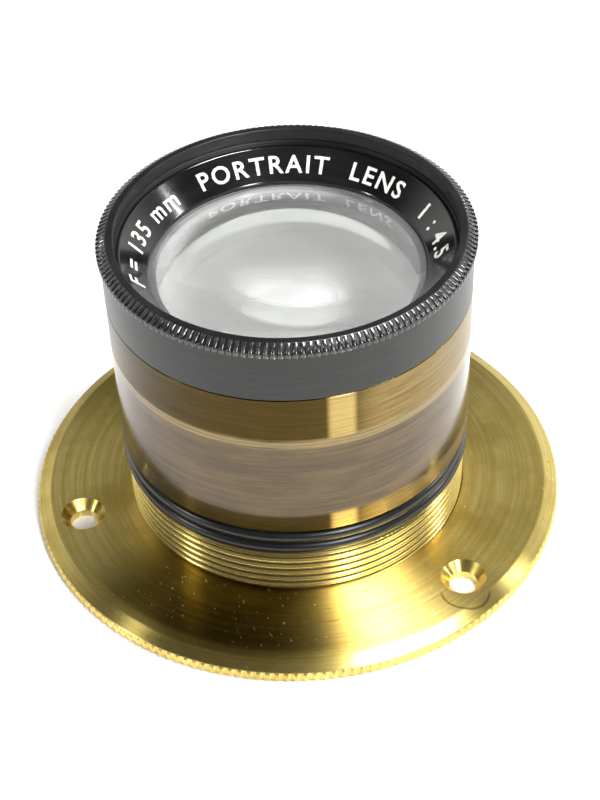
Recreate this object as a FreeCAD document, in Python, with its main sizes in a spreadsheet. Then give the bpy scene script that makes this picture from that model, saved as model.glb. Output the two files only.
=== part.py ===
import FreeCAD, Part
import math
import os

import Sketcher

# A brass portrait lens in barrel, screwed into its round mounting flange.
#
# Frame, in millimetres: the flange stands on z = 0 and the optical axis is +Z, from the
# camera side (rear) to the subject (front).  The lens is drawn partly unscrewed: the
# rear end of the barrel floats just above the plane on which the flange rests.
#
# How it comes apart:
#   flange      mounting_flange
#   barrel      thread_sleeve, bead_ring, barrel_tube, set_screws, front and rear cells,
#               name_ring, spacers and retaining rings, iris_base_plate
#   glass       front_element, second_element, rear_inner_element, rear_outer_element
#   aperture    aperture_ring, drive_screw, iris_drive_ring and the iris leaves

SIZES = {
    # mounting flange
    "flange_radius": 31.5,
    "flange_thickness": 2.0,
    "flange_edge_height": 1.3,
    "flange_bevel_width": 1.65,
    "flange_screw_circle": 26.4,
    "flange_screw_count": 3,
    "flange_screw_angle": -46,
    "flange_hole_radius": 1.6,
    "countersink_radius": 2.6,
    "countersink_angle": 90,
    # barrel thread, 40 mm by 1 mm
    "thread_radius": 20.0,
    "thread_pitch": 1.0,
    "thread_depth": 0.5,
    "thread_mouth": 0.64,
    "thread_root": 0.1,
    "thread_clearance": 0.12,
    "thread_start": 0.35,
    "thread_height": 6.7,
    "thread_runout": 0.3,
    # barrel, from the rear end upwards
    "rear_end_height": 0.3,
    "rear_flange_thickness": 0.6,
    "rear_flange_width": 1.8,
    "barrel_radius": 20.3,
    "barrel_height": 19.3,
    "neck_radius": 19.35,
    "neck_height": 5.6,
    "chamber_radius": 18.6,
    "web_ledge": 0.2,
    "web_thickness": 0.7,
    "socket_depth": 1.8,
    "socket_radius": 18.0,
    "sleeve_wall": 2.9,
    "seat_gap": 0.05,
    # double bead ring
    "bead_radius": 0.8,
    "bead_seat_radius": 18.8,
    "bead_groove_height": 0.5,
    "bead_edge": 0.1,
    # iris
    "leaf_count": 7,
    "leaf_inner_radius": 12.9,
    "leaf_outer_radius": 18.2,
    "leaf_span": 140,
    "leaf_thickness": 0.06,
    "leaf_slope": 5.14,
    "leaf_floor_gap": 0.25,
    "pivot_circle": 16.4,
    "stud_radius": 0.45,
    "stud_clearance": 0.05,
    "slot_play": 0.27,
    "slot_inner_radius": 13.85,
    "slot_outer_radius": 16.95,
    "iris_bore": 13.2,
    "base_plate_thickness": 0.9,
    "drive_plate_thickness": 0.8,
    "drive_plate_rise": 3.4,
    "drive_sleeve_radius": 18.5,
    "drive_sleeve_wall": 0.6,
    "drive_sleeve_gap": 0.15,
    "screw_radius": 0.6,
    "screw_head_radius": 1.0,
    "screw_head_height": 0.55,
    "screw_height_above_neck": 1.25,
    "screw_angle": 50,
    "aperture_turn": 68,
    "turn_margin": 4,
    "screw_slot_width": 0.35,
    "screw_slot_depth": 0.25,
    # aperture ring
    "ring_play": 0.05,
    "ring_band_height": 5.85,
    "ring_knurl_step": 0.35,
    "ring_knurl_height": 0.6,
    "ring_bevel_height": 0.65,
    "ring_bevel_width": 1.15,
    "ring_lip_bore": 18.7,
    "ring_lip_gap": 0.15,
    # front cell, name ring and front glass
    "front_cell_radius": 17.8,
    "front_cell_gap": 0.3,
    "front_head_radius": 18.55,
    "front_head_height": 1.2,
    "name_ring_inner": 15.3,
    "name_ring_thread": 17.0,
    "name_ring_rim": 1.5,
    "name_ring_face_outer": 18.2,
    "name_ring_foot": 0.45,
    "name_ring_drop": 0.5,
    "front_glass_radius": 15.9,
    "front_glass_edge": 1.6,
    "front_glass_bulge": 3.0,
    "front_glass_back": 0.3,
    "glass_gap": 0.05,
    "front_spacer_bore": 14.2,
    "front_spacer_height": 4.0,
    "cell_ledge_bore": 13.3,
    "cell_ledge_height": 0.7,
    "second_glass_radius": 14.0,
    "second_glass_edge": 5.3,
    "second_front_hollow": 1.2,
    "second_back_hollow": 2.5,
    "second_retainer_bore": 13.0,
    # rear cell and rear glass
    "rear_cell_height": 12.9,
    "rear_cell_lip": 1.2,
    "rear_cell_lip_width": 0.8,
    "rear_cell_wall": 3.0,
    "rear_inner_edge": 5.0,
    "rear_inner_hollow": 0.45,
    "rear_cement_bulge": 3.0,
    "rear_outer_edge": 1.4,
    "rear_outer_bulge": 1.55,
    "rear_retainer_width": 1.2,
    "rear_retainer_height": 1.2,
    "spanner_slot_width": 1.0,
    "spanner_slot_depth": 0.6,
    # set screws through the barrel tube
    "set_screw_radius": 0.6,
    "set_screw_count": 2,
    "set_screw_angle": 35,
    "set_screw_step": 110,
    "set_screw_recess": 0.15,
}


class Size:
    """A length or an angle: its value, and the same sum as an expression for the sheet."""

    def __init__(self, value, text):
        self.value = value
        self.text = text

    @staticmethod
    def of(other):
        return other if isinstance(other, Size) else Size(float(other), repr(float(other)))

    def joined(self, sign, other, value):
        return Size(value, f"({self.text} {sign} {other.text})")

    def __add__(self, other):
        other = Size.of(other)
        return self.joined("+", other, self.value + other.value)

    def __sub__(self, other):
        other = Size.of(other)
        return self.joined("-", other, self.value - other.value)

    def __mul__(self, other):
        other = Size.of(other)
        return self.joined("*", other, self.value * other.value)

    def __truediv__(self, other):
        other = Size.of(other)
        return self.joined("/", other, self.value / other.value)

    def __rsub__(self, other):
        return Size.of(other) - self

    def __neg__(self):
        return Size.of(0) - self

    __radd__ = __add__
    __rmul__ = __mul__


def sine(angle):
    return Size(math.sin(math.radians(angle.value)), f"sin({angle.text} * 1deg)")


def cosine(angle):
    return Size(math.cos(math.radians(angle.value)), f"cos({angle.text} * 1deg)")


def tangent(angle):
    return Size(math.tan(math.radians(angle.value)), f"tan({angle.text} * 1deg)")


doc = FreeCAD.newDocument("portrait_lens")
sheet = doc.addObject("Spreadsheet::Sheet", "Sizes")
for row, (alias, number) in enumerate(SIZES.items(), start=1):
    sheet.set(f"A{row}", alias)
    sheet.set(f"B{row}", str(number))
    sheet.setAlias(f"B{row}", alias)
doc.recompute()


class Names:
    """sizes.flange_radius and so on: each cell of the sheet as a Size."""

    def __getattr__(self, alias):
        return Size(float(SIZES[alias]), f"Sizes.{alias}")


sizes = Names()
ZERO = Size.of(0)


def origin_plane(body, role):
    return [item for item in body.Origin.OriginFeatures if item.Role == role][0]


def new_body(name):
    body = doc.addObject("PartDesign::Body", name)
    body.Label = name
    return body


def new_sketch(body, name, role, height=None, turn=None):
    """A sketch on an origin plane, lifted by a height or swung about the optical axis."""
    sketch = body.newObject("Sketcher::SketchObject", name)
    sketch.AttachmentSupport = [(origin_plane(body, role), "")]
    sketch.MapMode = "FlatFace"
    if height is not None:
        sketch.setExpression("AttachmentOffset.Base.z", height.text)
    if turn is not None:
        about_axis = FreeCAD.Rotation(FreeCAD.Vector(0, 1, 0), turn.value)
        sketch.AttachmentOffset = FreeCAD.Placement(FreeCAD.Vector(), about_axis)
        sketch.setExpression("AttachmentOffset.Rotation.Angle", turn.text)
    return sketch


def pin_point(sketch, shape, end, across, up):
    """Hold one point of a sketch at two sizes measured from the sketch's origin."""
    for kind, axis, size in (("DistanceX", -2, across), ("DistanceY", -1, up)):
        if abs(size.value) < 1e-9:
            sketch.addConstraint(Sketcher.Constraint("PointOnObject", shape, end, axis))
            continue
        number = sketch.addConstraint(
            Sketcher.Constraint(kind, -1, 1, shape, end, size.value))
        sketch.setExpression(f"Constraints[{number}]", size.text)


def arc_centre(start, end, centre_across):
    """How high an arc's centre is: it lies on the line midway between the two ends."""
    (x0, y0), (x1, y1) = start, end
    middle_x, middle_y = (x0 + x1) / 2, (y0 + y1) / 2
    return middle_y - (centre_across - middle_x) * (x1 - x0) / (y1 - y0)


def outline(sketch, corners):
    """A closed outline of corners (across, up).

    A third item turns the side that leaves the corner into an arc, and gives the
    distance of its centre from the axis.
    """
    count = len(corners)
    ends = []
    for index, corner in enumerate(corners):
        after = corners[(index + 1) % count]
        start = (corner[0].value, corner[1].value)
        end = (after[0].value, after[1].value)
        if len(corner) == 2:
            line = Part.LineSegment(FreeCAD.Vector(*start, 0), FreeCAD.Vector(*end, 0))
            sketch.addGeometry(line, False)
            ends.append((1, 2))
            continue
        centre_x = corner[2].value
        centre_y = arc_centre(start, end, centre_x)
        radius = math.hypot(start[0] - centre_x, start[1] - centre_y)
        first = math.atan2(start[1] - centre_y, start[0] - centre_x)
        last = math.atan2(end[1] - centre_y, end[0] - centre_x)
        forwards = (last - first) % (2 * math.pi) < math.pi + 1e-6
        if not forwards:
            first, last = last, first
        circle = Part.Circle(FreeCAD.Vector(centre_x, centre_y, 0), FreeCAD.Vector(0, 0, 1), radius)
        sketch.addGeometry(Part.ArcOfCircle(circle, first, last), False)
        ends.append((1, 2) if forwards else (2, 1))
    for index, corner in enumerate(corners):
        before = (index - 1) % count
        sketch.addConstraint(
            Sketcher.Constraint("Coincident", before, ends[before][1], index, ends[index][0]))
        pin_point(sketch, index, ends[index][0], corner[0], corner[1])
        if len(corner) == 3:
            if corner[2].value == 0:
                sketch.addConstraint(Sketcher.Constraint("PointOnObject", index, 3, -2))
            else:
                number = sketch.addConstraint(
                    Sketcher.Constraint("DistanceX", -1, 1, index, 3, corner[2].value))
                sketch.setExpression(f"Constraints[{number}]", corner[2].text)


def circle_at(sketch, across, up, radius):
    centre = FreeCAD.Vector(across.value, up.value, 0)
    shape = sketch.addGeometry(
        Part.Circle(centre, FreeCAD.Vector(0, 0, 1), radius.value), False)
    number = sketch.addConstraint(Sketcher.Constraint("Radius", shape, radius.value))
    sketch.setExpression(f"Constraints[{number}]", radius.text)
    pin_point(sketch, shape, 3, across, up)


def lathe(name, corners):
    """A body turned about the optical axis from an outline of (radius, height) corners."""
    body = new_body(name)
    sketch = new_sketch(body, name + "_profile", "XZ_Plane")
    outline(sketch, corners)
    turned = body.newObject("PartDesign::Revolution", name + "_turned")
    turned.Profile = sketch
    turned.ReferenceAxis = (sketch, ["V_Axis"])
    turned.Angle = 360
    return body


def tube(inner, outer, bottom, top):
    return [(inner, bottom), (outer, bottom), (outer, top), (inner, top)]


def check_cut(body, before):
    """A cut that points away from the solid takes nothing, so its volume is compared."""
    doc.recompute()
    if not body.Shape.Volume < before - 1e-6:
        raise RuntimeError(f"{body.Label}: a cut took nothing away")


def pocket(body, sketch, depth=None, upwards=False):
    """Cut a sketch's outline down into the body, or upwards, or right through it."""
    doc.recompute()
    before = body.Shape.Volume
    cut = body.newObject("PartDesign::Pocket", sketch.Name + "_cut")
    cut.Profile = sketch
    cut.Reversed = upwards
    if depth is None:
        cut.Type = 1
        cut.Midplane = True
    else:
        cut.setExpression("Length", depth.text)
    check_cut(body, before)
    return cut


def origin_axis(body, role):
    return [item for item in body.Origin.OriginFeatures if item.Role == role][0]


def around(body, feature, count, name):
    """Repeat a cut evenly around the optical axis."""
    pattern = body.newObject("PartDesign::PolarPattern", name)
    pattern.Originals = [feature]
    pattern.Axis = (origin_axis(body, "Z_Axis"), [""])
    pattern.Angle = 360
    pattern.Occurrences = int(count.value)
    pattern.setExpression("Occurrences", count.text)
    body.Tip = pattern
    doc.recompute()
    return pattern


def helix(body, kind, name, corners, height):
    """A thread: an outline of (radius, height) corners carried up the optical axis."""
    sketch = new_sketch(body, name + "_form", "XZ_Plane")
    outline(sketch, corners)
    thread = body.newObject(kind, name)
    thread.Profile = sketch
    thread.ReferenceAxis = (sketch, ["V_Axis"])
    thread.Mode = 0
    thread.Pitch = sizes.thread_pitch.value
    thread.setExpression("Pitch", sizes.thread_pitch.text)
    thread.Height = height.value
    thread.setExpression("Height", height.text)
    doc.recompute()
    return thread


def thread_form(crest, root, mouth, flat, height):
    """The four corners of one turn: a mouth at the crest radius, a flat at the root."""
    return [(crest, height - mouth / 2), (crest, height + mouth / 2),
            (root, height + flat / 2), (root, height - flat / 2)]


# Radii that follow from the thread and from the barrel.
sleeve_bore = sizes.thread_radius - sizes.thread_depth - sizes.sleeve_wall
web_bore = sleeve_bore + sizes.web_ledge
rear_cell_radius = sleeve_bore - sizes.seat_gap
rear_flange_radius = sleeve_bore + sizes.rear_flange_width
rear_glass_radius = rear_cell_radius - sizes.rear_cell_wall - sizes.glass_gap
rear_cell_lip_bore = rear_glass_radius - sizes.rear_cell_lip_width
rear_retainer_bore = rear_glass_radius - sizes.rear_retainer_width
knurl_radius = sizes.barrel_radius + sizes.ring_knurl_step

# Heights that several pieces share.
sleeve_bottom = sizes.rear_end_height + sizes.rear_flange_thickness
bead_bottom = sleeve_bottom + sizes.thread_height + sizes.thread_runout
barrel_bottom = bead_bottom + sizes.bead_edge * 2 + sizes.bead_radius * 4 + sizes.bead_groove_height
barrel_shoulder = barrel_bottom + sizes.barrel_height
neck_top = barrel_shoulder + sizes.neck_height
web_bottom = barrel_bottom + sizes.socket_depth
web_top = web_bottom + sizes.web_thickness
iris_floor = web_top + sizes.base_plate_thickness
leaf_level = iris_floor + sizes.leaf_floor_gap
drive_plate_bottom = iris_floor + sizes.drive_plate_rise
drive_plate_top = drive_plate_bottom + sizes.drive_plate_thickness
screw_height = barrel_shoulder + sizes.screw_height_above_neck
front_cell_bottom = drive_plate_top + sizes.front_cell_gap
name_ring_top = neck_top - sizes.name_ring_drop
front_head_top = name_ring_top - sizes.name_ring_rim
front_head_bottom = front_head_top - sizes.front_head_height


def mounting_flange():
    """A turned brass disc: knurled edge, bevel, three countersunk holes, threaded bore."""
    bore = sizes.thread_radius + sizes.thread_clearance
    top = sizes.flange_thickness
    bevel_radius = sizes.flange_radius - sizes.flange_bevel_width
    body = lathe("mounting_flange", [
        (bore, ZERO), (sizes.flange_radius, ZERO),
        (sizes.flange_radius, sizes.flange_edge_height), (bevel_radius, top), (bore, top)])
    clearance = sizes.thread_clearance
    helix(body, "PartDesign::AdditiveHelix", "flange_thread",
          thread_form(bore + clearance, sizes.thread_radius - sizes.thread_depth + clearance,
                      sizes.thread_mouth, sizes.thread_root / 2,
                      sizes.thread_start - sizes.thread_pitch * 2),
          top + sizes.thread_pitch * 3)
    for name, height, upwards in (("thread_top", top, True), ("thread_bottom", ZERO, False)):
        sketch = new_sketch(body, name, "XY_Plane", height)
        circle_at(sketch, ZERO, ZERO, sizes.flange_radius)
        pocket(body, sketch, sizes.thread_pitch * 4, upwards)
    holes = new_sketch(body, "screw_centre", "XY_Plane", top)
    circle_at(holes, sizes.flange_screw_circle * cosine(sizes.flange_screw_angle),
              sizes.flange_screw_circle * sine(sizes.flange_screw_angle), sizes.flange_hole_radius)
    doc.recompute()
    before = body.Shape.Volume
    hole = body.newObject("PartDesign::Hole", "screw_hole")
    hole.Profile = holes
    hole.DepthType = "ThroughAll"
    hole.HoleCutType = "Countersink"
    hole.HoleCutCustomValues = True
    hole.setExpression("Diameter", (sizes.flange_hole_radius * 2).text)
    hole.setExpression("HoleCutDiameter", (sizes.countersink_radius * 2).text)
    hole.setExpression("HoleCutCountersinkAngle", sizes.countersink_angle.text)
    check_cut(body, before)
    around(body, hole, sizes.flange_screw_count, "screw_holes")
    return body


def thread_sleeve():
    """The rear part of the barrel, with the outside thread that fits the flange."""
    bottom = sleeve_bottom
    top = bead_bottom
    body = lathe("thread_sleeve", [
        (sleeve_bore, bottom), (sizes.thread_radius, bottom),
        (sizes.thread_radius, top - sizes.thread_runout),
        (sizes.thread_radius - sizes.thread_depth, top), (sizes.bead_seat_radius, top),
        (sizes.bead_seat_radius, barrel_bottom),
        (sizes.socket_radius - sizes.seat_gap, barrel_bottom),
        (sizes.socket_radius - sizes.seat_gap, web_bottom - sizes.seat_gap),
        (sleeve_bore, web_bottom - sizes.seat_gap)])
    beyond = sizes.thread_radius + sizes.thread_depth / 2
    doc.recompute()
    before = body.Shape.Volume
    helix(body, "PartDesign::SubtractiveHelix", "sleeve_thread",
          thread_form(beyond, sizes.thread_radius - sizes.thread_depth,
                      sizes.thread_mouth + (sizes.thread_mouth - sizes.thread_root) / 2,
                      sizes.thread_root, sizes.thread_start - sizes.thread_pitch),
          top + sizes.thread_pitch * 3 / 2)
    check_cut(body, before)
    return body


def bead_ring():
    """A black ring with two round beads, held between the sleeve and the barrel tube."""
    seat = sizes.bead_seat_radius
    waist = sizes.barrel_radius - sizes.bead_radius
    low = bead_bottom + sizes.bead_edge
    middle = low + sizes.bead_radius * 2
    high = middle + sizes.bead_radius * 2
    return lathe("bead_ring", [
        (seat, bead_bottom), (waist, bead_bottom), (waist, low, waist), (waist, middle, waist),
        (waist, high), (waist, barrel_bottom), (seat, barrel_bottom)])


def barrel_tube():
    """The brass barrel, its neck for the aperture ring, and the drive screw's slot."""
    body = lathe("barrel_tube", [
        (sizes.socket_radius, barrel_bottom), (sizes.barrel_radius, barrel_bottom),
        (sizes.barrel_radius, barrel_shoulder), (sizes.neck_radius, barrel_shoulder),
        (sizes.neck_radius, neck_top), (sizes.chamber_radius, neck_top),
        (sizes.chamber_radius, web_top), (web_bore, web_top),
        (web_bore, web_bottom), (sizes.socket_radius, web_bottom)])
    doc.recompute()
    before = body.Shape.Volume
    half_slot = sizes.screw_radius + sizes.ring_play * 2
    sketch = new_sketch(body, "drive_slot_profile", "XZ_Plane",
                        turn=sizes.screw_angle + sizes.aperture_turn / 2)
    outline(sketch, tube(sizes.chamber_radius - sizes.seat_gap, sizes.neck_radius + sizes.seat_gap,
                         screw_height - half_slot, screw_height + half_slot))
    slot = body.newObject("PartDesign::Groove", "drive_slot")
    slot.Profile = sketch
    slot.ReferenceAxis = (sketch, ["V_Axis"])
    slot.Midplane = True
    slot.Angle = (sizes.aperture_turn + sizes.turn_margin * 2).value
    slot.setExpression("Angle", (sizes.aperture_turn + sizes.turn_margin * 2).text)
    check_cut(body, before)
    for index in range(int(sizes.set_screw_count.value)):
        radial_hole(body, f"set_screw_hole_{index + 1}", set_screw_turn(index),
                    barrel_bottom + sizes.socket_depth / 2, sizes.set_screw_radius,
                    sizes.socket_radius - sizes.seat_gap, sizes.barrel_radius + sizes.seat_gap)
    return body


def radial_hole(body, name, turn, height, radius, near, far):
    """A round hole along a radius: a lathe cut about a line square to the optical axis."""
    sketch = new_sketch(body, name + "_profile", "XZ_Plane", turn=turn)
    outline(sketch, [(near, height), (far, height), (far, height + radius),
                     (near, height + radius)])
    start = FreeCAD.Vector(near.value, height.value, 0)
    end = FreeCAD.Vector(far.value, height.value, 0)
    axis = sketch.addGeometry(Part.LineSegment(start, end), True)
    for point in (1, 2):
        sketch.addConstraint(Sketcher.Constraint("Coincident", axis, point, 0, point))
    doc.recompute()
    before = body.Shape.Volume
    hole = body.newObject("PartDesign::Groove", name)
    hole.Profile = sketch
    hole.ReferenceAxis = (sketch, ["Axis0"])
    hole.Angle = 360
    check_cut(body, before)
    return hole


def set_screw_turn(index):
    return sizes.set_screw_angle + sizes.set_screw_step * index


def laid_radially(body, turn, height):
    """Stand a body that was turned about Z on a radius instead, at a height."""
    upright = FreeCAD.Rotation(FreeCAD.Vector(0, 1, 0), 90)
    swung = FreeCAD.Rotation(FreeCAD.Vector(0, 0, 1), turn.value)
    body.Placement = FreeCAD.Placement(FreeCAD.Vector(0, 0, height.value), swung * upright)
    body.setExpression("Placement.Base.z", height.text)


def screwdriver_slot(body, name, top, radius):
    """A straight slot across the head of a screw."""
    sketch = new_sketch(body, name, "XY_Plane", top)
    half = sizes.screw_slot_width / 2
    outline(sketch, [(-radius * 2, -half), (radius * 2, -half), (radius * 2, half),
                     (-radius * 2, half)])
    pocket(body, sketch, sizes.screw_slot_depth)


def one_set_screw(index):
    """A headless screw that locks the barrel tube to the sleeve below it."""
    top = sizes.barrel_radius - sizes.set_screw_recess
    body = lathe(f"set_screw_{index + 1}",
                 tube(ZERO, sizes.set_screw_radius, sizes.socket_radius, top))
    screwdriver_slot(body, f"set_screw_slot_{index + 1}", top, sizes.set_screw_radius)
    laid_radially(body, set_screw_turn(index), barrel_bottom + sizes.socket_depth / 2)
    return body


def front_cell():
    """The tube that holds the two front glasses and screws into the barrel's neck."""
    ledge_top = second_ledge + sizes.cell_ledge_height
    glass_bore = sizes.front_glass_radius + sizes.glass_gap
    body = lathe("front_cell", [
        (sizes.second_glass_radius + sizes.glass_gap, front_cell_bottom),
        (sizes.front_cell_radius, front_cell_bottom),
        (sizes.front_cell_radius, front_head_bottom),
        (sizes.front_head_radius, front_head_bottom), (sizes.front_head_radius, front_head_top),
        (sizes.name_ring_thread, front_head_top), (sizes.name_ring_thread, name_ring_bottom),
        (glass_bore, name_ring_bottom), (glass_bore, ledge_top),
        (sizes.cell_ledge_bore, ledge_top), (sizes.cell_ledge_bore, second_ledge),
        (sizes.second_glass_radius + sizes.glass_gap, second_ledge)])
    return body


# The front glass hangs below the name ring, and everything in the cell stacks below it.
name_ring_bottom = name_ring_top - (sizes.name_ring_face_outer - sizes.name_ring_inner) \
    - sizes.name_ring_foot
front_glass_top = name_ring_bottom - sizes.glass_gap
front_glass_bottom = front_glass_top - sizes.front_glass_edge
second_ledge = front_glass_bottom - sizes.front_spacer_height - sizes.cell_ledge_height
second_glass_bottom = second_ledge - sizes.second_glass_edge
rear_ledge = sleeve_bottom + sizes.rear_cell_height - sizes.rear_cell_lip - sizes.seat_gap
rear_inner_bottom = rear_ledge - sizes.rear_inner_edge
rear_outer_bottom = rear_inner_bottom - sizes.rear_outer_edge


def name_ring():
    """The conical black ring round the front glass, which carries the lettering."""
    inner = sizes.name_ring_inner
    return lathe("name_ring", [
        (inner, name_ring_bottom), (sizes.name_ring_thread, name_ring_bottom),
        (sizes.name_ring_thread, front_head_top), (sizes.front_head_radius, front_head_top),
        (sizes.front_head_radius, name_ring_top), (sizes.name_ring_face_outer, name_ring_top),
        (inner, name_ring_bottom + sizes.name_ring_foot)])


def front_element():
    """The first glass: strongly domed in front, almost flat behind."""
    radius = sizes.front_glass_radius
    return lathe("front_element", [
        (ZERO, front_glass_bottom - sizes.front_glass_back, ZERO),
        (sizes.front_spacer_bore, front_glass_bottom), (radius, front_glass_bottom),
        (radius, front_glass_top), (sizes.name_ring_inner, front_glass_top, ZERO),
        (ZERO, front_glass_top + sizes.front_glass_bulge)])


def front_spacer():
    """A blackened ring between the first and the second glass."""
    return lathe("front_spacer", tube(
        sizes.front_spacer_bore, sizes.front_glass_radius,
        second_ledge + sizes.cell_ledge_height, front_glass_bottom))


def second_element():
    """The second glass, hollow on both sides."""
    radius = sizes.second_glass_radius
    return lathe("second_element", [
        (ZERO, second_glass_bottom + sizes.second_back_hollow, ZERO),
        (radius, second_glass_bottom), (radius, second_ledge, ZERO),
        (ZERO, second_ledge - sizes.second_front_hollow)])


def spanner_slots(body, name, top, bottom, reach):
    """Two notches across a retaining ring, where a lens spanner bites."""
    sketch = new_sketch(body, name, "XY_Plane", top)
    half = sizes.spanner_slot_width / 2
    outline(sketch, [(-reach, -half), (reach, -half), (reach, half), (-reach, half)])
    pocket(body, sketch, sizes.spanner_slot_depth, upwards=bottom)


def second_retainer():
    """The threaded ring that holds the second glass from behind."""
    body = lathe("second_retainer", tube(
        sizes.second_retainer_bore, sizes.second_glass_radius,
        front_cell_bottom, second_glass_bottom))
    spanner_slots(body, "second_spanner_slots", front_cell_bottom, True,
                  sizes.second_glass_radius + sizes.glass_gap)
    return body


def iris_base_plate():
    """The fixed plate on which the iris leaves pivot."""
    body = lathe("iris_base_plate", tube(
        sizes.iris_bore, sizes.chamber_radius - sizes.seat_gap, web_top, iris_floor))
    sketch = new_sketch(body, "pivot_centre", "XY_Plane", iris_floor)
    circle_at(sketch, sizes.pivot_circle, ZERO, sizes.stud_radius + sizes.stud_clearance)
    hole = pocket(body, sketch, sizes.base_plate_thickness * 2)
    around(body, hole, sizes.leaf_count, "pivot_holes")
    return body


def iris_drive_ring():
    """The turning plate with one slot for each leaf, and its sleeve up to the drive screw."""
    outer = sizes.drive_sleeve_radius
    inner = outer - sizes.drive_sleeve_wall
    top = front_head_bottom - sizes.drive_sleeve_gap
    body = lathe("iris_drive_ring", [
        (sizes.iris_bore, drive_plate_bottom), (outer, drive_plate_bottom),
        (outer, top), (inner, top),
        (inner, drive_plate_top), (sizes.iris_bore, drive_plate_top)])
    # Each slot lies on the radius on which the leaf's drive stud sits at full aperture.
    sketch = new_sketch(body, "leaf_slot_profile", "XY_Plane", drive_plate_top)
    sketch.AttachmentOffset = FreeCAD.Placement(
        FreeCAD.Vector(), FreeCAD.Rotation(FreeCAD.Vector(0, 0, 1), sizes.leaf_span.value))
    sketch.setExpression("AttachmentOffset.Rotation.Angle", sizes.leaf_span.text)
    sketch.setExpression("AttachmentOffset.Base.z", drive_plate_top.text)
    half = sizes.stud_radius + sizes.stud_clearance + sizes.slot_play
    outline(sketch, [
        (sizes.slot_inner_radius, -half), (sizes.slot_outer_radius, -half),
        (sizes.slot_outer_radius, half), (sizes.slot_inner_radius, half)])
    slot = pocket(body, sketch, sizes.drive_plate_thickness * 2)
    around(body, slot, sizes.leaf_count, "leaf_slots")
    radial_hole(body, "sleeve_screw_hole", sizes.screw_angle, screw_height, sizes.screw_radius,
                inner - sizes.seat_gap, outer + sizes.seat_gap)
    return body


def iris_leaf(index):
    """One thin curved leaf, with a pivot stud below one end and a drive stud above the other.

    The leaf is flat but climbs gently from its pivot to its drive stud, so that each leaf
    lies over the next all the way round.
    """
    body = new_body(f"iris_leaf_{index + 1}")
    half_span = sizes.leaf_span / 2
    heading = half_span + 90
    sketch = new_sketch(body, f"leaf_outline_{index + 1}", "XY_Plane")
    climb = FreeCAD.Rotation(FreeCAD.Vector(0, 1, 0), -sizes.leaf_slope.value)
    swing = FreeCAD.Rotation(FreeCAD.Vector(0, 0, 1), heading.value)
    pivot = FreeCAD.Vector(sizes.pivot_circle.value, 0, leaf_level.value)
    sketch.AttachmentOffset = FreeCAD.Placement(pivot, swing * climb)
    sketch.setExpression("AttachmentOffset.Base.x", sizes.pivot_circle.text)
    sketch.setExpression("AttachmentOffset.Base.z", leaf_level.text)
    leaf_profile(sketch, half_span)
    plate = body.newObject("PartDesign::Pad", f"leaf_plate_{index + 1}")
    plate.Profile = sketch
    plate.Length = sizes.leaf_thickness.value
    plate.setExpression("Length", sizes.leaf_thickness.text)
    drive_rise = sizes.pivot_circle * sine(half_span) * 2 * tangent(sizes.leaf_slope)
    studs = (
        ("pivot_stud", sizes.pivot_circle, ZERO,
         web_top + sizes.stud_clearance * 2, leaf_level + sizes.leaf_thickness),
        ("drive_stud", sizes.pivot_circle * cosine(sizes.leaf_span),
         sizes.pivot_circle * sine(sizes.leaf_span),
         leaf_level + drive_rise, drive_plate_top - sizes.stud_clearance * 2),
    )
    for name, across, along, bottom, top in studs:
        centre = new_sketch(body, f"{name}_centre_{index + 1}", "XY_Plane", bottom)
        circle_at(centre, across, along, sizes.stud_radius)
        stud = body.newObject("PartDesign::Pad", f"{name}_{index + 1}")
        stud.Profile = centre
        stud.Length = (top - bottom).value
        stud.setExpression("Length", (top - bottom).text)
    turn = index * 360 / sizes.leaf_count.value
    body.Placement = FreeCAD.Placement(
        FreeCAD.Vector(), FreeCAD.Rotation(FreeCAD.Vector(0, 0, 1), turn))
    return body


def leaf_profile(sketch, half_span):
    """Two arcs about the optical axis, joined by a round end at each stud."""
    inner, outer = sizes.leaf_inner_radius, sizes.leaf_outer_radius
    axis_across = sizes.pivot_circle * sine(half_span)
    axis_up = sizes.pivot_circle * cosine(half_span)
    middle = (inner + outer) / 2
    centre = FreeCAD.Vector(axis_across.value, axis_up.value, 0)
    normal = FreeCAD.Vector(0, 0, 1)
    low, high = -90 - half_span.value, -90 + half_span.value
    for radius in (inner.value, outer.value):
        arc = Part.ArcOfCircle(Part.Circle(centre, normal, radius),
                               math.radians(low), math.radians(high))
        sketch.addGeometry(arc, False)
    end_radius = (outer.value - inner.value) / 2
    for angle, first in ((high, high), (low, low - 180)):
        direction = FreeCAD.Vector(math.cos(math.radians(angle)), math.sin(math.radians(angle)), 0)
        arc = Part.ArcOfCircle(Part.Circle(centre + direction * middle.value, normal, end_radius),
                               math.radians(first), math.radians(first + 180))
        sketch.addGeometry(arc, False)
    # Corners: the high end joins outer arc end to inner arc end, the low end their starts.
    for first, first_end, second, second_end in ((1, 2, 2, 1), (2, 2, 0, 2),
                                                 (0, 1, 3, 1), (3, 2, 1, 1)):
        sketch.addConstraint(
            Sketcher.Constraint("Tangent", first, first_end, second, second_end))
    sketch.addConstraint(Sketcher.Constraint("Coincident", 0, 3, 1, 3))
    pin_point(sketch, 0, 3, axis_across, axis_up)
    for shape, radius in ((0, inner), (1, outer)):
        number = sketch.addConstraint(Sketcher.Constraint("Radius", shape, radius.value))
        sketch.setExpression(f"Constraints[{number}]", radius.text)
    for shape, side in ((2, 1), (3, -1)):
        across = axis_across + middle * sine(half_span) * side
        number = sketch.addConstraint(
            Sketcher.Constraint("DistanceX", -1, 1, shape, 3, across.value))
        sketch.setExpression(f"Constraints[{number}]", across.text)


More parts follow.
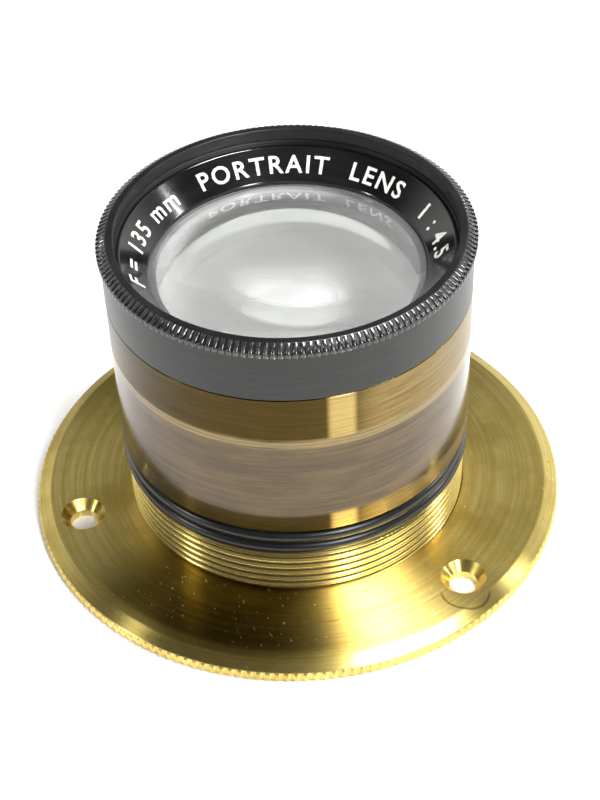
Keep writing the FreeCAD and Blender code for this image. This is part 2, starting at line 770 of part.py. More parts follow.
def aperture_ring():
    """The black front ring: plain band, knurled and bevelled rim, lip over the neck."""
    bore = sizes.neck_radius + sizes.ring_play
    bottom = barrel_shoulder + sizes.ring_play
    band_top = bottom + sizes.ring_band_height
    knurl_top = band_top + sizes.ring_knurl_height
    top = knurl_top + sizes.ring_bevel_height
    lip_bottom = neck_top + sizes.ring_lip_gap
    bevel_radius = knurl_radius - sizes.ring_bevel_width
    body = lathe("aperture_ring", [
        (bore, bottom), (sizes.barrel_radius, bottom), (sizes.barrel_radius, band_top),
        (knurl_radius, band_top), (knurl_radius, knurl_top),
        (bevel_radius, top), (sizes.ring_lip_bore, top), (sizes.ring_lip_bore, lip_bottom),
        (bore, lip_bottom)])
    radial_hole(body, "ring_screw_hole", sizes.screw_angle, screw_height, sizes.screw_radius,
                bore - sizes.seat_gap, sizes.barrel_radius + sizes.seat_gap)
    radial_hole(body, "ring_screw_recess", sizes.screw_angle, screw_height,
                sizes.screw_head_radius, sizes.barrel_radius - sizes.screw_head_height,
                sizes.barrel_radius + sizes.seat_gap)
    return body


def drive_screw():
    """The screw that joins the aperture ring to the iris drive ring through the slot."""
    head = sizes.barrel_radius - sizes.screw_head_height
    top = sizes.barrel_radius - sizes.seat_gap
    body = lathe("drive_screw", [
        (ZERO, sizes.drive_sleeve_radius - sizes.drive_sleeve_wall),
        (sizes.screw_radius, sizes.drive_sleeve_radius - sizes.drive_sleeve_wall),
        (sizes.screw_radius, head), (sizes.screw_head_radius, head),
        (sizes.screw_head_radius, top), (ZERO, top)])
    screwdriver_slot(body, "drive_screw_slot", top, sizes.screw_head_radius)
    laid_radially(body, sizes.screw_angle, screw_height)
    return body


def rear_cell():
    """The tube that holds the cemented rear pair, with a thin flange under the sleeve."""
    glass_bore = rear_glass_radius + sizes.glass_gap
    top = sleeve_bottom + sizes.rear_cell_height - sizes.seat_gap
    return lathe("rear_cell", [
        (glass_bore, sizes.rear_end_height), (rear_flange_radius, sizes.rear_end_height),
        (rear_flange_radius, sleeve_bottom), (rear_cell_radius, sleeve_bottom),
        (rear_cell_radius, top), (rear_cell_lip_bore, top),
        (rear_cell_lip_bore, rear_ledge), (glass_bore, rear_ledge)])


def rear_inner_element():
    """The front half of the cemented rear pair, hollow on both sides."""
    radius = rear_glass_radius
    return lathe("rear_inner_element", [
        (ZERO, rear_inner_bottom + sizes.rear_cement_bulge, ZERO), (radius, rear_inner_bottom),
        (radius, rear_ledge, ZERO), (ZERO, rear_ledge - sizes.rear_inner_hollow)])


def rear_outer_element():
    """The rear half of the cemented pair, domed on both sides."""
    radius = rear_glass_radius
    return lathe("rear_outer_element", [
        (ZERO, rear_outer_bottom - sizes.rear_outer_bulge, ZERO),
        (rear_retainer_bore, rear_outer_bottom), (radius, rear_outer_bottom),
        (radius, rear_inner_bottom, ZERO), (ZERO, rear_inner_bottom + sizes.rear_cement_bulge)])


def rear_retaining_ring():
    """The threaded ring behind the rear glass."""
    bottom = rear_outer_bottom - sizes.rear_retainer_height
    body = lathe("rear_retaining_ring", tube(
        rear_retainer_bore, rear_glass_radius, bottom, rear_outer_bottom))
    spanner_slots(body, "rear_spanner_slots", bottom, True,
                  rear_glass_radius + sizes.glass_gap)
    return body


pieces = [
    mounting_flange(), thread_sleeve(), bead_ring(), barrel_tube(),
    front_cell(), name_ring(), front_element(), front_spacer(), second_element(),
    second_retainer(), iris_base_plate(), iris_drive_ring(), aperture_ring(), drive_screw(),
    rear_cell(), rear_inner_element(), rear_outer_element(), rear_retaining_ring(),
]
pieces += [one_set_screw(index) for index in range(int(sizes.set_screw_count.value))]
pieces += [iris_leaf(index) for index in range(int(sizes.leaf_count.value))]

doc.recompute()
for item in doc.Objects:
    if "Invalid" in item.State or "Error" in item.State:
        raise RuntimeError(f"{item.Label} did not compute: {item.State}")
for piece in pieces:
    if piece.Shape.isNull() or not piece.Shape.isValid() or len(piece.Shape.Solids) != 1:
        raise RuntimeError(f"{piece.Label} is not one valid solid")

os.makedirs("parts", exist_ok=True)
for piece in pieces:
    piece.Shape.exportStep(f"parts/{piece.Label}.step")
    print(f"{piece.Label:22s} {piece.Shape.Volume:10.2f} mm3")
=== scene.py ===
# %% [markdown]
# # A brass portrait lens in its mounting flange
#
# The object is an early twentieth-century camera lens: a brass tube with a black ring that
# sets the aperture, a threaded rear part and a round brass flange that it screws into.
# Nearly every piece of it was made on a lathe, so nearly every piece here is a profile
# turned about the optical axis, which is the frame's +Z.  The CAD model says where each
# piece is.  This script dresses it: smoother shapes, knurls, lettering and finishes.

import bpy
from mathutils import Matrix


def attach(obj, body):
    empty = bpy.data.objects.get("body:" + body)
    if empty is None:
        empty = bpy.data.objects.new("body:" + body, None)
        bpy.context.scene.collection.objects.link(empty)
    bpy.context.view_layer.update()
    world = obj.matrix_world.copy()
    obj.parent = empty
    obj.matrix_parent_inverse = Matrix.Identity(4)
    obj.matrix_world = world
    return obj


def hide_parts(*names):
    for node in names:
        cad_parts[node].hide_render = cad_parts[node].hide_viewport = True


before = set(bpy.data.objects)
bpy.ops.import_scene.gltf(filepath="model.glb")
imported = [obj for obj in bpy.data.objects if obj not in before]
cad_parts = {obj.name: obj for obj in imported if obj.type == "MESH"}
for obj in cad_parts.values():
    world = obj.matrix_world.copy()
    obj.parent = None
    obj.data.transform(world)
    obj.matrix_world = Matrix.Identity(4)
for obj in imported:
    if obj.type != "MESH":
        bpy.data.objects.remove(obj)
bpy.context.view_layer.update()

# %% Libraries and the unit
import math

import bmesh
import bpy
from mathutils import Matrix, Vector

MM = 0.001  # every size below is written in millimetres, and Blender works in metres
scene = bpy.context.scene

# %% [markdown]
# ## Sizes that several pieces share
#
# Pieces that meet must agree on where they meet.  So each radius or height that more than
# one piece or finish uses has one name, set once here.  Heights are above the table.

# %% Shared radii and heights
BARREL_RADIUS = 20.3
THREAD_ROOT = 19.5                    # the bottom of the sleeve's grooves, and the beads' seat
BEAD_FOOT, BARREL_FOOT, SHOULDER = 7.9, 11.8, 31.1    # sleeve to beads to tube to black ring
KNURL_RADIUS, KNURL_TOP = 20.65, 37.6    # the black ring's knurl, to the foot of its bevel
print(f"tube {2 * BARREL_RADIUS} mm across and {SHOULDER - BARREL_FOOT:.1f} mm long")

# %% [markdown]
# ## Node trees written as sums
#
# Finishes and repeated shapes are both node trees.  Making each node by hand hides the idea
# under bookkeeping, so one function adds any node, and a small class wraps a socket so that
# `radius * 3 + 1` adds the Math nodes for us.

# %% A socket that takes part in sums
class Wire:
    """The output of a node.  Adding or multiplying wires adds Math nodes to their tree."""

    def __init__(self, tree, socket):
        self.tree, self.socket = tree, socket

    def maths(self, operation, first, second=0.0):
        return add(self.tree, "ShaderNodeMath", {"operation": operation}, {0: first, 1: second})

    def __add__(self, other): return self.maths("ADD", self, other)
    def __radd__(self, other): return self.maths("ADD", other, self)
    def __sub__(self, other): return self.maths("SUBTRACT", self, other)
    def __rsub__(self, other): return self.maths("SUBTRACT", other, self)
    def __mul__(self, other): return self.maths("MULTIPLY", self, other)
    def __rmul__(self, other): return self.maths("MULTIPLY", other, self)
    def __truediv__(self, other): return self.maths("DIVIDE", self, other)
    def __rtruediv__(self, other): return self.maths("DIVIDE", other, self)
    def __pow__(self, other): return self.maths("POWER", self, other)
    def __abs__(self): return self.maths("ABSOLUTE", self)


def socket_of(sockets, key):
    """A socket by its number, its identifier or its name."""
    if isinstance(key, int):
        return sockets[key]
    for socket in sockets:
        if key == socket.identifier:
            return socket
    return sockets[key]


def add(tree, kind, settings=None, values=None, output=0):
    """Add one node: its settings first, then its values or links.  Returns one output."""
    node = tree.nodes.new(kind)
    for name, setting in (settings or {}).items():
        setattr(node, name, setting)
    for key, value in (values or {}).items():
        socket = socket_of(node.inputs, key)
        if isinstance(value, Wire):
            tree.links.new(value.socket, socket)
        else:
            socket.default_value = value
    return Wire(tree, socket_of(node.outputs, output)) if len(node.outputs) else node


# %% [markdown]
# ## Turning a profile
#
# A lathe cuts a profile out of a spinning bar.  Blender's Spin or Screw could do the same,
# but plain mesh code lets the corners be broken as a turner breaks them: each sharp corner
# becomes a short arc, which is what catches the light on real metal.

# %% Profiles with broken corners
def eased(start, corner, end, steps):
    """Points of a small arc that goes from start to end instead of through the corner."""
    shares = [step / steps for step in range(steps + 1)]
    return [tuple(start * (1 - t) ** 2 + corner * 2 * t * (1 - t) + end * t ** 2)
            for t in shares]


def broken(corners, size=0.06, steps=3, guard=0.03):
    """Replace each corner (radius, height[, size]) by an arc that cuts it off.

    A guard point on each side keeps the arc's shading off the flat faces beside it.
    """
    points = []
    count = len(corners)
    for index, corner in enumerate(corners):
        here = Vector(corner[:2])
        cut = corner[2] if len(corner) > 2 else size
        before = Vector(corners[index - 1][:2]) - here
        after = Vector(corners[(index + 1) % count][:2]) - here
        room_before, room_after = before.length * 0.45, after.length * 0.45
        cut = min(cut, room_before, room_after)
        if cut < 0.002 or here.x < 1e-6:
            points.append(tuple(here))
            continue
        near, far = before.normalized(), after.normalized()
        start, end = here + near * cut, here + far * cut
        if room_before > cut + guard:
            points.append(tuple(start + near * guard))
        points += eased(start, here, end, steps)
        if room_after > cut + guard:
            points.append(tuple(end + far * guard))
    return points


def dome(rim_radius, rim_height, apex, steps=14):
    """Points from a rim to the axis along part of a sphere, as on a lens."""
    rise = apex - rim_height
    ball = (rim_radius ** 2 + rise ** 2) / (2 * abs(rise))
    points = []
    for step in range(steps + 1):
        radius = rim_radius * (1 - step / steps)
        drop = ball - math.sqrt(ball ** 2 - radius ** 2)
        points.append((radius, apex - math.copysign(drop, rise), 0))
    return points


# %% [markdown]
# ## Meshes and pieces
#
# Every shape ends as a closed mesh in metres, shaded smooth except at real edges.  One
# function shows it, gives it its finish and says which body it moves with, so that no piece
# can be added without these.

# %% Meshes and pieces
def mesh_from(name, points, faces, smooth_below=35, outwards=True):
    """A mesh in millimetres made into a clean mesh in metres, smooth except at real edges."""
    made = bmesh.new()
    corners = [made.verts.new(Vector(p) * MM) for p in points]
    for face in faces:
        made.faces.new([corners[i] for i in face])
    bmesh.ops.remove_doubles(made, verts=made.verts, dist=1e-7)
    bmesh.ops.dissolve_degenerate(made, edges=made.edges, dist=1e-7)
    if outwards:
        bmesh.ops.recalc_face_normals(made, faces=made.faces)
    mesh = bpy.data.meshes.new(name)
    made.to_mesh(mesh)
    made.free()
    mesh.shade_smooth()
    mesh.set_sharp_from_angle(angle=math.radians(smooth_below))
    return mesh


def piece(name, mesh, finish, body, slot, *nodes):
    """Show a mesh as one piece that moves with a CAD body and stands for CAD nodes."""
    shown = bpy.data.objects.new(name, mesh)
    scene.collection.objects.link(shown)
    mesh.materials.clear()
    mesh.materials.append(finish)
    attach(shown, body)
    if nodes:
        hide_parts(*nodes)
    print(f"{name}: {len(mesh.polygons)} faces on {body}")


def turned_mesh(name, profile, segments=256):
    """Turn a closed profile of (radius, height) about the optical axis."""
    points, faces = [], []
    count = len(profile)
    for turn in range(segments):
        angle = 2 * math.pi * turn / segments
        points += [(r * math.cos(angle), r * math.sin(angle), z) for r, z in profile]
    for turn in range(segments):
        here, there = turn * count, (turn + 1) % segments * count
        for row in range(count):
            up = (row + 1) % count
            if profile[row][0] < 1e-6 and profile[up][0] < 1e-6:
                continue
            if profile[row][0] < 1e-6:
                faces.append((here + row, there + up, here + up))
            elif profile[up][0] < 1e-6:
                faces.append((here + row, there + row, here + up))
            else:
                faces.append((here + row, there + row, there + up, here + up))
    return mesh_from(name, points, faces)


# %% [markdown]
# ## Colours and noise that follow the lathe
#
# Tool marks run round the axis, so the patterns are worked out from the radius and the
# height of each point, not from a flat picture.  Noise is stretched: fine along one of them,
# very coarse round the axis.  All of it reads Object coordinates, in millimetres.

# %% The places a finish can read
def new_finish(name):
    """A material with an empty tree."""
    finish = bpy.data.materials.new(name)
    finish.use_nodes = True
    finish.node_tree.nodes.clear()
    return finish, finish.node_tree


def from_axis(x, y):
    """The distance of (x, y) from (0, 0)."""
    return (x * x + y * y) ** 0.5


def lathe_place(tree):
    """x, y, height and radius of the shaded point, in millimetres."""
    spot = add(tree, "ShaderNodeTexCoord", output="Object")
    scaled = add(tree, "ShaderNodeVectorMath", {"operation": "SCALE"}, {0: spot, "Scale": 1 / MM})
    apart = add(tree, "ShaderNodeSeparateXYZ", values={0: scaled})
    node = apart.socket.node
    x, y, z = (Wire(tree, node.outputs[i]) for i in range(3))
    return x, y, z, from_axis(x, y)


def joined(tree, x, y, z):
    """Three values as one vector."""
    return add(tree, "ShaderNodeCombineXYZ", values={0: x, 1: y, 2: z})


def noise(tree, vector, scale=1.0, detail=3.0, rough=0.55):
    """Soft random values around 0.5."""
    return add(tree, "ShaderNodeTexNoise", None,
               {"Vector": vector, "Scale": scale, "Detail": detail, "Roughness": rough})


def between(tree, value, low, high, out_low=0.0, out_high=1.0):
    """A smooth step from out_low to out_high while value goes from low to high."""
    return add(tree, "ShaderNodeMapRange", {"interpolation_type": "SMOOTHSTEP"},
               {"Value": value, "From Min": low, "From Max": high,
                "To Min": out_low, "To Max": out_high})


def blended(tree, share, first, second):
    """A colour that goes from first to second as share goes from 0 to 1."""
    def colour(value):
        return value if isinstance(value, Wire) else (*value, 1.0)
    return add(tree, "ShaderNodeMix", {"data_type": "RGBA"},
               {"Factor_Float": share, "A_Color": colour(first), "B_Color": colour(second)},
               output="Result_Color")


def bumped(tree, height, depth, strength=1.0):
    """A Bump node: height from 0 to 1 stands for a depth in millimetres."""
    return add(tree, "ShaderNodeBump", None,
               {"Height": height, "Distance": depth * MM, "Strength": strength})


def surfaced(finish, tree, **values):
    """A Principled shader, with names such as Base_Color, wired to the output."""
    shader = add(tree, "ShaderNodeBsdfPrincipled",
                 values={key.replace("_", " "): value for key, value in values.items()})
    add(tree, "ShaderNodeOutputMaterial", values={"Surface": shader})
    return finish


# %% [markdown]
# ### Turned brass
#
# The flange was faced in a lathe and never polished.  Fine rings of tool marks spread a
# highlight across the grooves, so it turns into a bright spoke from the centre outwards.
# An anisotropic shader gives that spread; the rings that the eye can see come from colour
# and bump.  Handling has left olive tarnish in broad patches, light nicks, and the arc that
# the head of a screw once pressed beside a hole.  A mottled dark brown patch on the
# front-left is a painted dark reflection of the dark side of the room, and the nicks gather
# a little more in it.

# %% A mask for one side of the object
def facing(tree, x, y, radius, azimuth, wide, soft):
    """1 within wide degrees of an azimuth, falling smoothly to 0 over soft more."""
    turn = math.radians(azimuth)
    along = (x * math.cos(turn) + y * math.sin(turn)) / radius
    return between(tree, along, math.cos(math.radians(wide + soft)),
                   math.cos(math.radians(wide)))


# %% Turned brass for the flange
DARK_REFLECTION_AZIMUTH = -113            # the middle of the patch of painted dark reflection
MARK_X, MARK_Y = 18.3, -21.0    # the centre of the screw head's mark
MARK_RADIUS = 2.75


def flange_brass():
    finish, tree = new_finish("turned_brass_flange")
    x, y, z, radius = lathe_place(tree)
    marks = noise(tree, joined(tree, radius * 2.6, x * 0.05, y * 0.05), detail=4.0, rough=0.7)
    fine = noise(tree, joined(tree, radius * 11.0, x * 0.12, y * 0.12), detail=2.0)
    patches = noise(tree, joined(tree, x * 0.09, y * 0.09, z * 0.3 + 4.2), detail=5.0, rough=0.6)
    specks = noise(tree, joined(tree, x * 1.9, y * 1.9, z), detail=2.0, rough=0.6)
    nicks = noise(tree, joined(tree, x * 2.6 + y * 0.8, y * 1.2, z + 9.0), detail=1.0)
    tarnish = between(tree, patches, 0.40, 0.66)
    # Painted dark reflection: the front-left is painted a mottled dark brown, for the dark room.
    painted_dark_reflection = facing(tree, x, y, radius, DARK_REFLECTION_AZIMUTH, 12, 26)
    painted_dark_reflection = painted_dark_reflection * between(tree, radius, 29.6, 28.2)
    painted_dark_reflection = painted_dark_reflection * between(tree, patches * 0.5 + marks * 0.5, 0.30, 0.55, 0.55, 1.0)
    brass = blended(tree, between(tree, marks, 0.3, 0.7), (0.70, 0.53, 0.135),
                    (0.90, 0.73, 0.27))
    dull = blended(tree, tarnish * 0.7, brass, (0.50, 0.37, 0.085))
    dark = blended(tree, painted_dark_reflection, dull, (0.20, 0.135, 0.022))
    spotted = blended(tree, between(tree, specks, 0.66, 0.74) * 0.4, dark, (0.12, 0.09, 0.03))
    off_ring = abs(from_axis(x - MARK_X, y - MARK_Y) - MARK_RADIUS)
    mark = between(tree, off_ring, 0.20, 0.06) * between(tree, y, MARK_Y + 0.1, MARK_Y - 0.9)
    marked = blended(tree, mark * 0.65, spotted, (0.16, 0.105, 0.02))
    nicked = blended(tree, between(tree, nicks + painted_dark_reflection * 0.07, 0.75, 0.79), marked,
                     (0.95, 0.88, 0.62))
    rough = 0.29 + tarnish * 0.05 + (marks - 0.5) * 0.10
    relief = bumped(tree, fine * 0.5 + marks * 0.5, 0.004, 0.5)
    return surfaced(finish, tree, Base_Color=nicked, Metallic=1.0, Roughness=rough,
                    Anisotropic=0.95, Anisotropic_Rotation=0.25, Normal=relief)


flange_finish = flange_brass()
print("finish:", flange_finish.name)

# %% [markdown]
# ### Thread brass
#
# Each crest of a thread is rubbed bright every time it is screwed in.  The bottom of each
# groove is painted darker, as painted shade.  The depth of a point tells the two apart, so
# the painted shade is a mask made from the radius.

# %% Bright crests and grooves with painted shade
GROOVE_SHADE_TOP, GROOVE_SHADE_FULL = 19.92, 19.66    # radii where the painted groove shade begins and where it covers all


def thread_brass():
    finish, tree = new_finish("turned_brass_thread")
    x, y, z, radius = lathe_place(tree)
    marks = noise(tree, joined(tree, x * 0.1, y * 0.1, z * 9.0), detail=3.0)
    # Painted shade: darker, duller and less metallic towards the bottom of each groove.
    groove_shade = between(tree, radius, GROOVE_SHADE_TOP, GROOVE_SHADE_FULL)
    brass = blended(tree, marks, (0.72, 0.56, 0.16), (0.90, 0.74, 0.28))
    colour = blended(tree, groove_shade * 0.95, brass, (0.05, 0.028, 0.008))
    return surfaced(finish, tree, Base_Color=colour, Metallic=1.0 - groove_shade * 0.5,
                    Roughness=0.26 + groove_shade * 0.4, Anisotropic=0.8,
                    Anisotropic_Rotation=0.25, Normal=bumped(tree, marks, 0.003, 0.25))


thread_finish = thread_brass()
print("finish:", thread_finish.name)

# %% [markdown]
# ### Lacquered brass
#
# The barrel was lacquered.  The lacquer has gone grey and hazy on the main part, and is
# still clear and golden on the band under the black ring, where a worn line divides them.
# The band's dark brown is partly that lacquer and partly a painted dark reflection of the
# room in front.  Streaks run round the tube, because that is the way it was polished and is
# wiped.  Above the line one side is painted paler, a painted reflection of the brighter room
# on that side, and a narrow upright bright strip is a painted reflection too.  The band's
# colours, strip and all, are painted again round the foot beside the beads, as a painted
# reflection of the flange.  The bore is blackened.

# %% Lacquered brass for the barrel
BAND_LINE = 25.4   # height of the worn line between the hazy and the golden lacquer
FLANGE_REFLECTION_LINE = 14.2   # below this, beside the beads, a painted reflection of the flange
SHEEN_SIDE_AZIMUTH, REFLECTION_STRIP_AZIMUTH = -24, -76    # the side of painted pale reflection, and a narrow painted reflection strip


def barrel_brass():
    finish, tree = new_finish("lacquered_brass_barrel")
    x, y, z, radius = lathe_place(tree)
    streaks = noise(tree, joined(tree, x * 0.05, y * 0.05, z * 4.5), detail=5.0, rough=0.7)
    fine = noise(tree, joined(tree, x * 0.22, y * 0.22, z * 16.0), detail=3.0, rough=0.6)
    blotch = noise(tree, joined(tree, x * 0.16, y * 0.16, z * 0.5), detail=4.0, rough=0.6)
    wander = (noise(tree, joined(tree, x * 0.2, y * 0.2, 7.0), detail=3.0) - 0.5) * 0.5
    golden_band_and_painted_foot = between(tree, z + wander, BAND_LINE - 0.15, BAND_LINE + 0.15)
    # Painted reflection: the foot beside the beads takes the band's colours, for the flange.
    golden_band_and_painted_foot = golden_band_and_painted_foot + between(tree, z - wander, FLANGE_REFLECTION_LINE + 0.3, FLANGE_REFLECTION_LINE - 0.3)
    worn = between(tree, abs(z + wander - BAND_LINE + 0.5), 1.0, 0.2)
    worn = worn * between(tree, streaks * 0.5 + fine * 0.5, 0.40, 0.55)
    hazy = blended(tree, between(tree, blotch * 0.35 + streaks * 0.65, 0.40, 0.66),
                   (0.082, 0.062, 0.040), (0.150, 0.105, 0.056))
    # The band's dark brown: partly lacquer, partly a painted dark reflection of the room in
    # front.
    clear = blended(tree, between(tree, streaks * 0.5 + fine * 0.5, 0.36, 0.62),
                    (0.036, 0.021, 0.002), (0.072, 0.045, 0.006))
    # Painted reflection: one side of the band is painted paler, for the brighter room there.
    painted_sheen = blended(tree, between(tree, streaks * 0.4 + fine * 0.6, 0.38, 0.6),
                     (0.17, 0.11, 0.032), (0.33, 0.235, 0.09))
    painted_sheen_side = facing(tree, x, y, radius, SHEEN_SIDE_AZIMUTH, 38, 14) * 0.8
    band = blended(tree, painted_sheen_side, clear, painted_sheen)
    # Painted reflection: a narrow upright bright strip, on the band and the foot.
    painted_reflection_strip = facing(tree, x, y, radius, REFLECTION_STRIP_AZIMUTH, 2.7, 2.4)
    painted_reflection_strip = painted_reflection_strip * between(tree, fine, 0.3, 0.6, 0.4, 0.75)
    band = blended(tree, painted_reflection_strip, band, (0.56, 0.42, 0.15))
    ground = blended(tree, golden_band_and_painted_foot, hazy, band)
    inside = between(tree, radius, 20.0, 19.6)
    colour = blended(tree, worn * 0.7, ground, (0.34, 0.25, 0.115))
    colour = blended(tree, inside, colour, (0.01, 0.01, 0.01))
    rough = 0.11 + golden_band_and_painted_foot * 0.14 + (fine - 0.5) * 0.08 + worn * 0.1 + inside * 0.4
    return surfaced(finish, tree, Base_Color=colour, Metallic=0.9 - inside * 0.9,
                    Roughness=rough, Coat_Weight=(0.20 - golden_band_and_painted_foot * 0.15) * (1.0 - inside),
                    Coat_Roughness=0.05, Anisotropic=0.9, Anisotropic_Rotation=0.25,
                    Normal=bumped(tree, fine + streaks * 0.5, 0.003, 0.3))


barrel_finish = barrel_brass()
print("finish:", barrel_finish.name)

# %% [markdown]
# ### Black enamel
#
# The same black in four sheens: glossy on the bezel, half glossy on the beads, satin with a
# fine grain on the ring's band and the rear cell, and matt inside, where light must not be
# thrown about.  One function makes them all, because only a few values differ.

# %% Black finishes
def black_finish(name, dark, pale, rough, grain_depth, coat):
    finish, tree = new_finish(name)
    x, y, z, _ = lathe_place(tree)
    grain = noise(tree, joined(tree, x * 4.0, y * 4.0, z * 4.0), detail=3.0, rough=0.6)
    rub = noise(tree, joined(tree, x * 0.2, y * 0.2, z * 2.0), detail=4.0, rough=0.65)
    colour = blended(tree, between(tree, rub, 0.4, 0.7), dark, pale)
    return surfaced(finish, tree, Base_Color=colour, Roughness=rough + (rub - 0.5) * 0.14,
                    Coat_Weight=coat, Coat_Roughness=0.08,
                    Normal=bumped(tree, grain, grain_depth, 0.5))


glossy_black = black_finish("glossy_black_enamel", (0.003, 0.003, 0.003),
                            (0.006, 0.006, 0.006), 0.14, 0.002, 0.5)
bead_black = black_finish("bead_black_enamel", (0.005, 0.005, 0.005),
                          (0.011, 0.011, 0.011), 0.30, 0.004, 0.0)
satin_black = black_finish("satin_black_enamel", (0.004, 0.004, 0.004),
                           (0.012, 0.0115, 0.011), 0.34, 0.008, 0.0)
matt_black = black_finish("matt_black_inside", (0.010, 0.010, 0.010),
                          (0.018, 0.017, 0.016), 0.6, 0.010, 0.0)
print("finishes:", glossy_black.name, bead_black.name, satin_black.name, matt_black.name)

# %% [markdown]
# ### The knurl's black
#
# Fingers wear a knurl on the crests of its teeth.  The crests lie on a cylinder and on the
# cone of the bevel above it, so a point's distance from those two surfaces says how far up
# a tooth it is, and the black is a little greyer there: partly that wear and partly a
# painted glint on each crest.

# %% Black worn, with a painted glint, on the crests
BEVEL_TILT = math.radians(60.5)    # from level to a line that stands square on the bevel


def knurl_black():
    finish, tree = new_finish("knurl_black_enamel")
    x, y, z, radius = lathe_place(tree)
    chips = noise(tree, joined(tree, x * 1.6, y * 1.6, z * 1.6), detail=4.0, rough=0.7)
    above_side = radius - KNURL_RADIUS
    above_bevel = (radius - KNURL_RADIUS) * math.cos(BEVEL_TILT) + (
        z - KNURL_TOP) * math.sin(BEVEL_TILT)
    crest = above_side.maths("MAXIMUM", between(tree, above_side, -0.07, -0.01),
                             between(tree, above_bevel, -0.06, -0.01))
    # Greyer crests: partly wear, partly a painted glint.
    worn = crest * between(tree, chips, 0.35, 0.65, 0.15, 1.0)
    colour = blended(tree, worn, (0.0025, 0.0025, 0.0025), (0.045, 0.044, 0.042))
    return surfaced(finish, tree, Base_Color=colour, Roughness=0.13 + worn * 0.15,
                    Coat_Weight=0.6, Coat_Roughness=0.05,
                    Normal=bumped(tree, chips, 0.003, 0.4))


knurl_finish = knurl_black()
print("finish:", knurl_finish.name)

# %% [markdown]
# ### Steel, and the white of the engraving
#
# The screws are plain steel, a little stained.  The iris leaves are thin steel, blackened.
# The letters are cut into the black and filled with white wax paint, which has gone dirty
# in places.

# %% Steel
def steel_finish(name, dark, pale, rough, metal):
    finish, tree = new_finish(name)
    x, y, z, _ = lathe_place(tree)
    brushed = noise(tree, joined(tree, x * 0.6, y * 6.0, z * 6.0), detail=4.0)
    stain = noise(tree, joined(tree, x * 0.4, y * 0.4, z), detail=4.0)
    colour = blended(tree, between(tree, stain, 0.35, 0.7), dark, pale)
    return surfaced(finish, tree, Base_Color=colour, Metallic=metal,
                    Roughness=rough + (brushed - 0.5) * 0.2,
                    Normal=bumped(tree, brushed, 0.004, 0.5))


screw_steel = steel_finish("screw_steel", (0.16, 0.15, 0.14), (0.42, 0.40, 0.37), 0.34, 1.0)
leaf_steel = steel_finish("blackened_leaf_steel", (0.02, 0.02, 0.022), (0.06, 0.058, 0.055),
                          0.38, 0.7)
print("finishes:", screw_steel.name, leaf_steel.name)


# %% White paint
def paint_fill():
    finish, tree = new_finish("engraving_white")
    x, y, z, _ = lathe_place(tree)
    dirt = noise(tree, joined(tree, x * 2.2, y * 2.2, z * 2.2), detail=4.0)
    colour = blended(tree, between(tree, dirt, 0.45, 0.72), (0.80, 0.80, 0.76),
                     (0.42, 0.41, 0.37))
    return surfaced(finish, tree, Base_Color=colour, Roughness=0.6,
                    Normal=bumped(tree, dirt, 0.02, 0.4))


white_fill = paint_fill()
print("finish:", white_fill.name)

# %% [markdown]
# ### Old glass
#
# The glass is clear, with a thin haze of dust and oil on its faces that scatters the light,
# so that it looks pale rather than black; the haze also stands in for the bright table seen
# through the lens, so it is partly dust and partly painted light, most of all on the rear
# pair.  A Mix Shader lays a little of this pale layer over the glass, more of it towards the
# rim and in faint wiped swirls.  A painted highlight brightens a disc a little off the axis,
# most of all near one edge of it, and a painted bright arc lies along the far edge.
# Glass in Cycles throws a full shadow, so a Light Path node makes it clear to shadow rays,
# which lets light reach the inside.

# %% Glass with a haze
HIGHLIGHT_X, HIGHLIGHT_RADIUS = 1.5, 10.0    # the disc of painted highlight: its centre is on y = 0
# where the painted bright arc lies
BRIGHT_ARC_AZIMUTH = 128


def glass_finish(name, haze_centre, haze_rim, reach, painted_highlights=0.0):
    """Haze is a share of pale dust and painted light at the centre and, at the radius reach, near
    the rim.
    """
    finish, tree = new_finish(name)
    x, y, z, radius = lathe_place(tree)
    wiped = noise(tree, joined(tree, x * 0.10 + y * 0.05, y * 0.22, z * 0.2), detail=3.0,
                  rough=0.5)
    share = between(tree, radius, reach * 0.55, reach, haze_centre, haze_rim)
    # Painted highlight: a bright crescent in a disc off the axis, and a bright arc along the far
    # edge.
    crescent = between(tree, y + (wiped - 0.5) * 2.0, -1.5, -8.0)
    crescent = crescent * between(tree, abs(x + 0.3), 8.0, 2.5)
    painted_highlight_disc = between(tree, from_axis(x - HIGHLIGHT_X, y), HIGHLIGHT_RADIUS, HIGHLIGHT_RADIUS - 0.8)
    painted_highlight_disc = painted_highlight_disc * (crescent * 0.38 + 0.02)
    painted_bright_arc = facing(tree, x, y, radius, BRIGHT_ARC_AZIMUTH, 25, 50)
    painted_bright_arc = painted_bright_arc * between(tree, radius, 11.0, 13.4) * between(tree, radius, 15.1, 14.3)
    share = share + (painted_highlight_disc + painted_bright_arc * 0.30) * painted_highlights
    haze = share * between(tree, wiped, 0.3, 0.7, 0.82, 1.18)
    clear = add(tree, "ShaderNodeBsdfPrincipled", values={
        "Base Color": (0.985, 0.99, 0.985, 1.0), "Roughness": 0.0, "IOR": 1.52,
        "Specular IOR Level": 0.25, "Transmission Weight": 1.0})
    see_through = add(tree, "ShaderNodeBsdfTransparent", values={0: (0.9, 0.9, 0.89, 1.0)})
    shadow = add(tree, "ShaderNodeLightPath", output="Is Shadow Ray")
    lit = add(tree, "ShaderNodeMixShader", values={0: shadow, 1: clear, 2: see_through})
    dust_and_painted_light = add(tree, "ShaderNodeBsdfPrincipled", values={
        "Base Color": (0.70, 0.71, 0.70, 1.0), "Roughness": 0.45})
    mixed = add(tree, "ShaderNodeMixShader", values={0: haze, 1: lit, 2: dust_and_painted_light})
    add(tree, "ShaderNodeOutputMaterial", values={"Surface": mixed})
    return finish


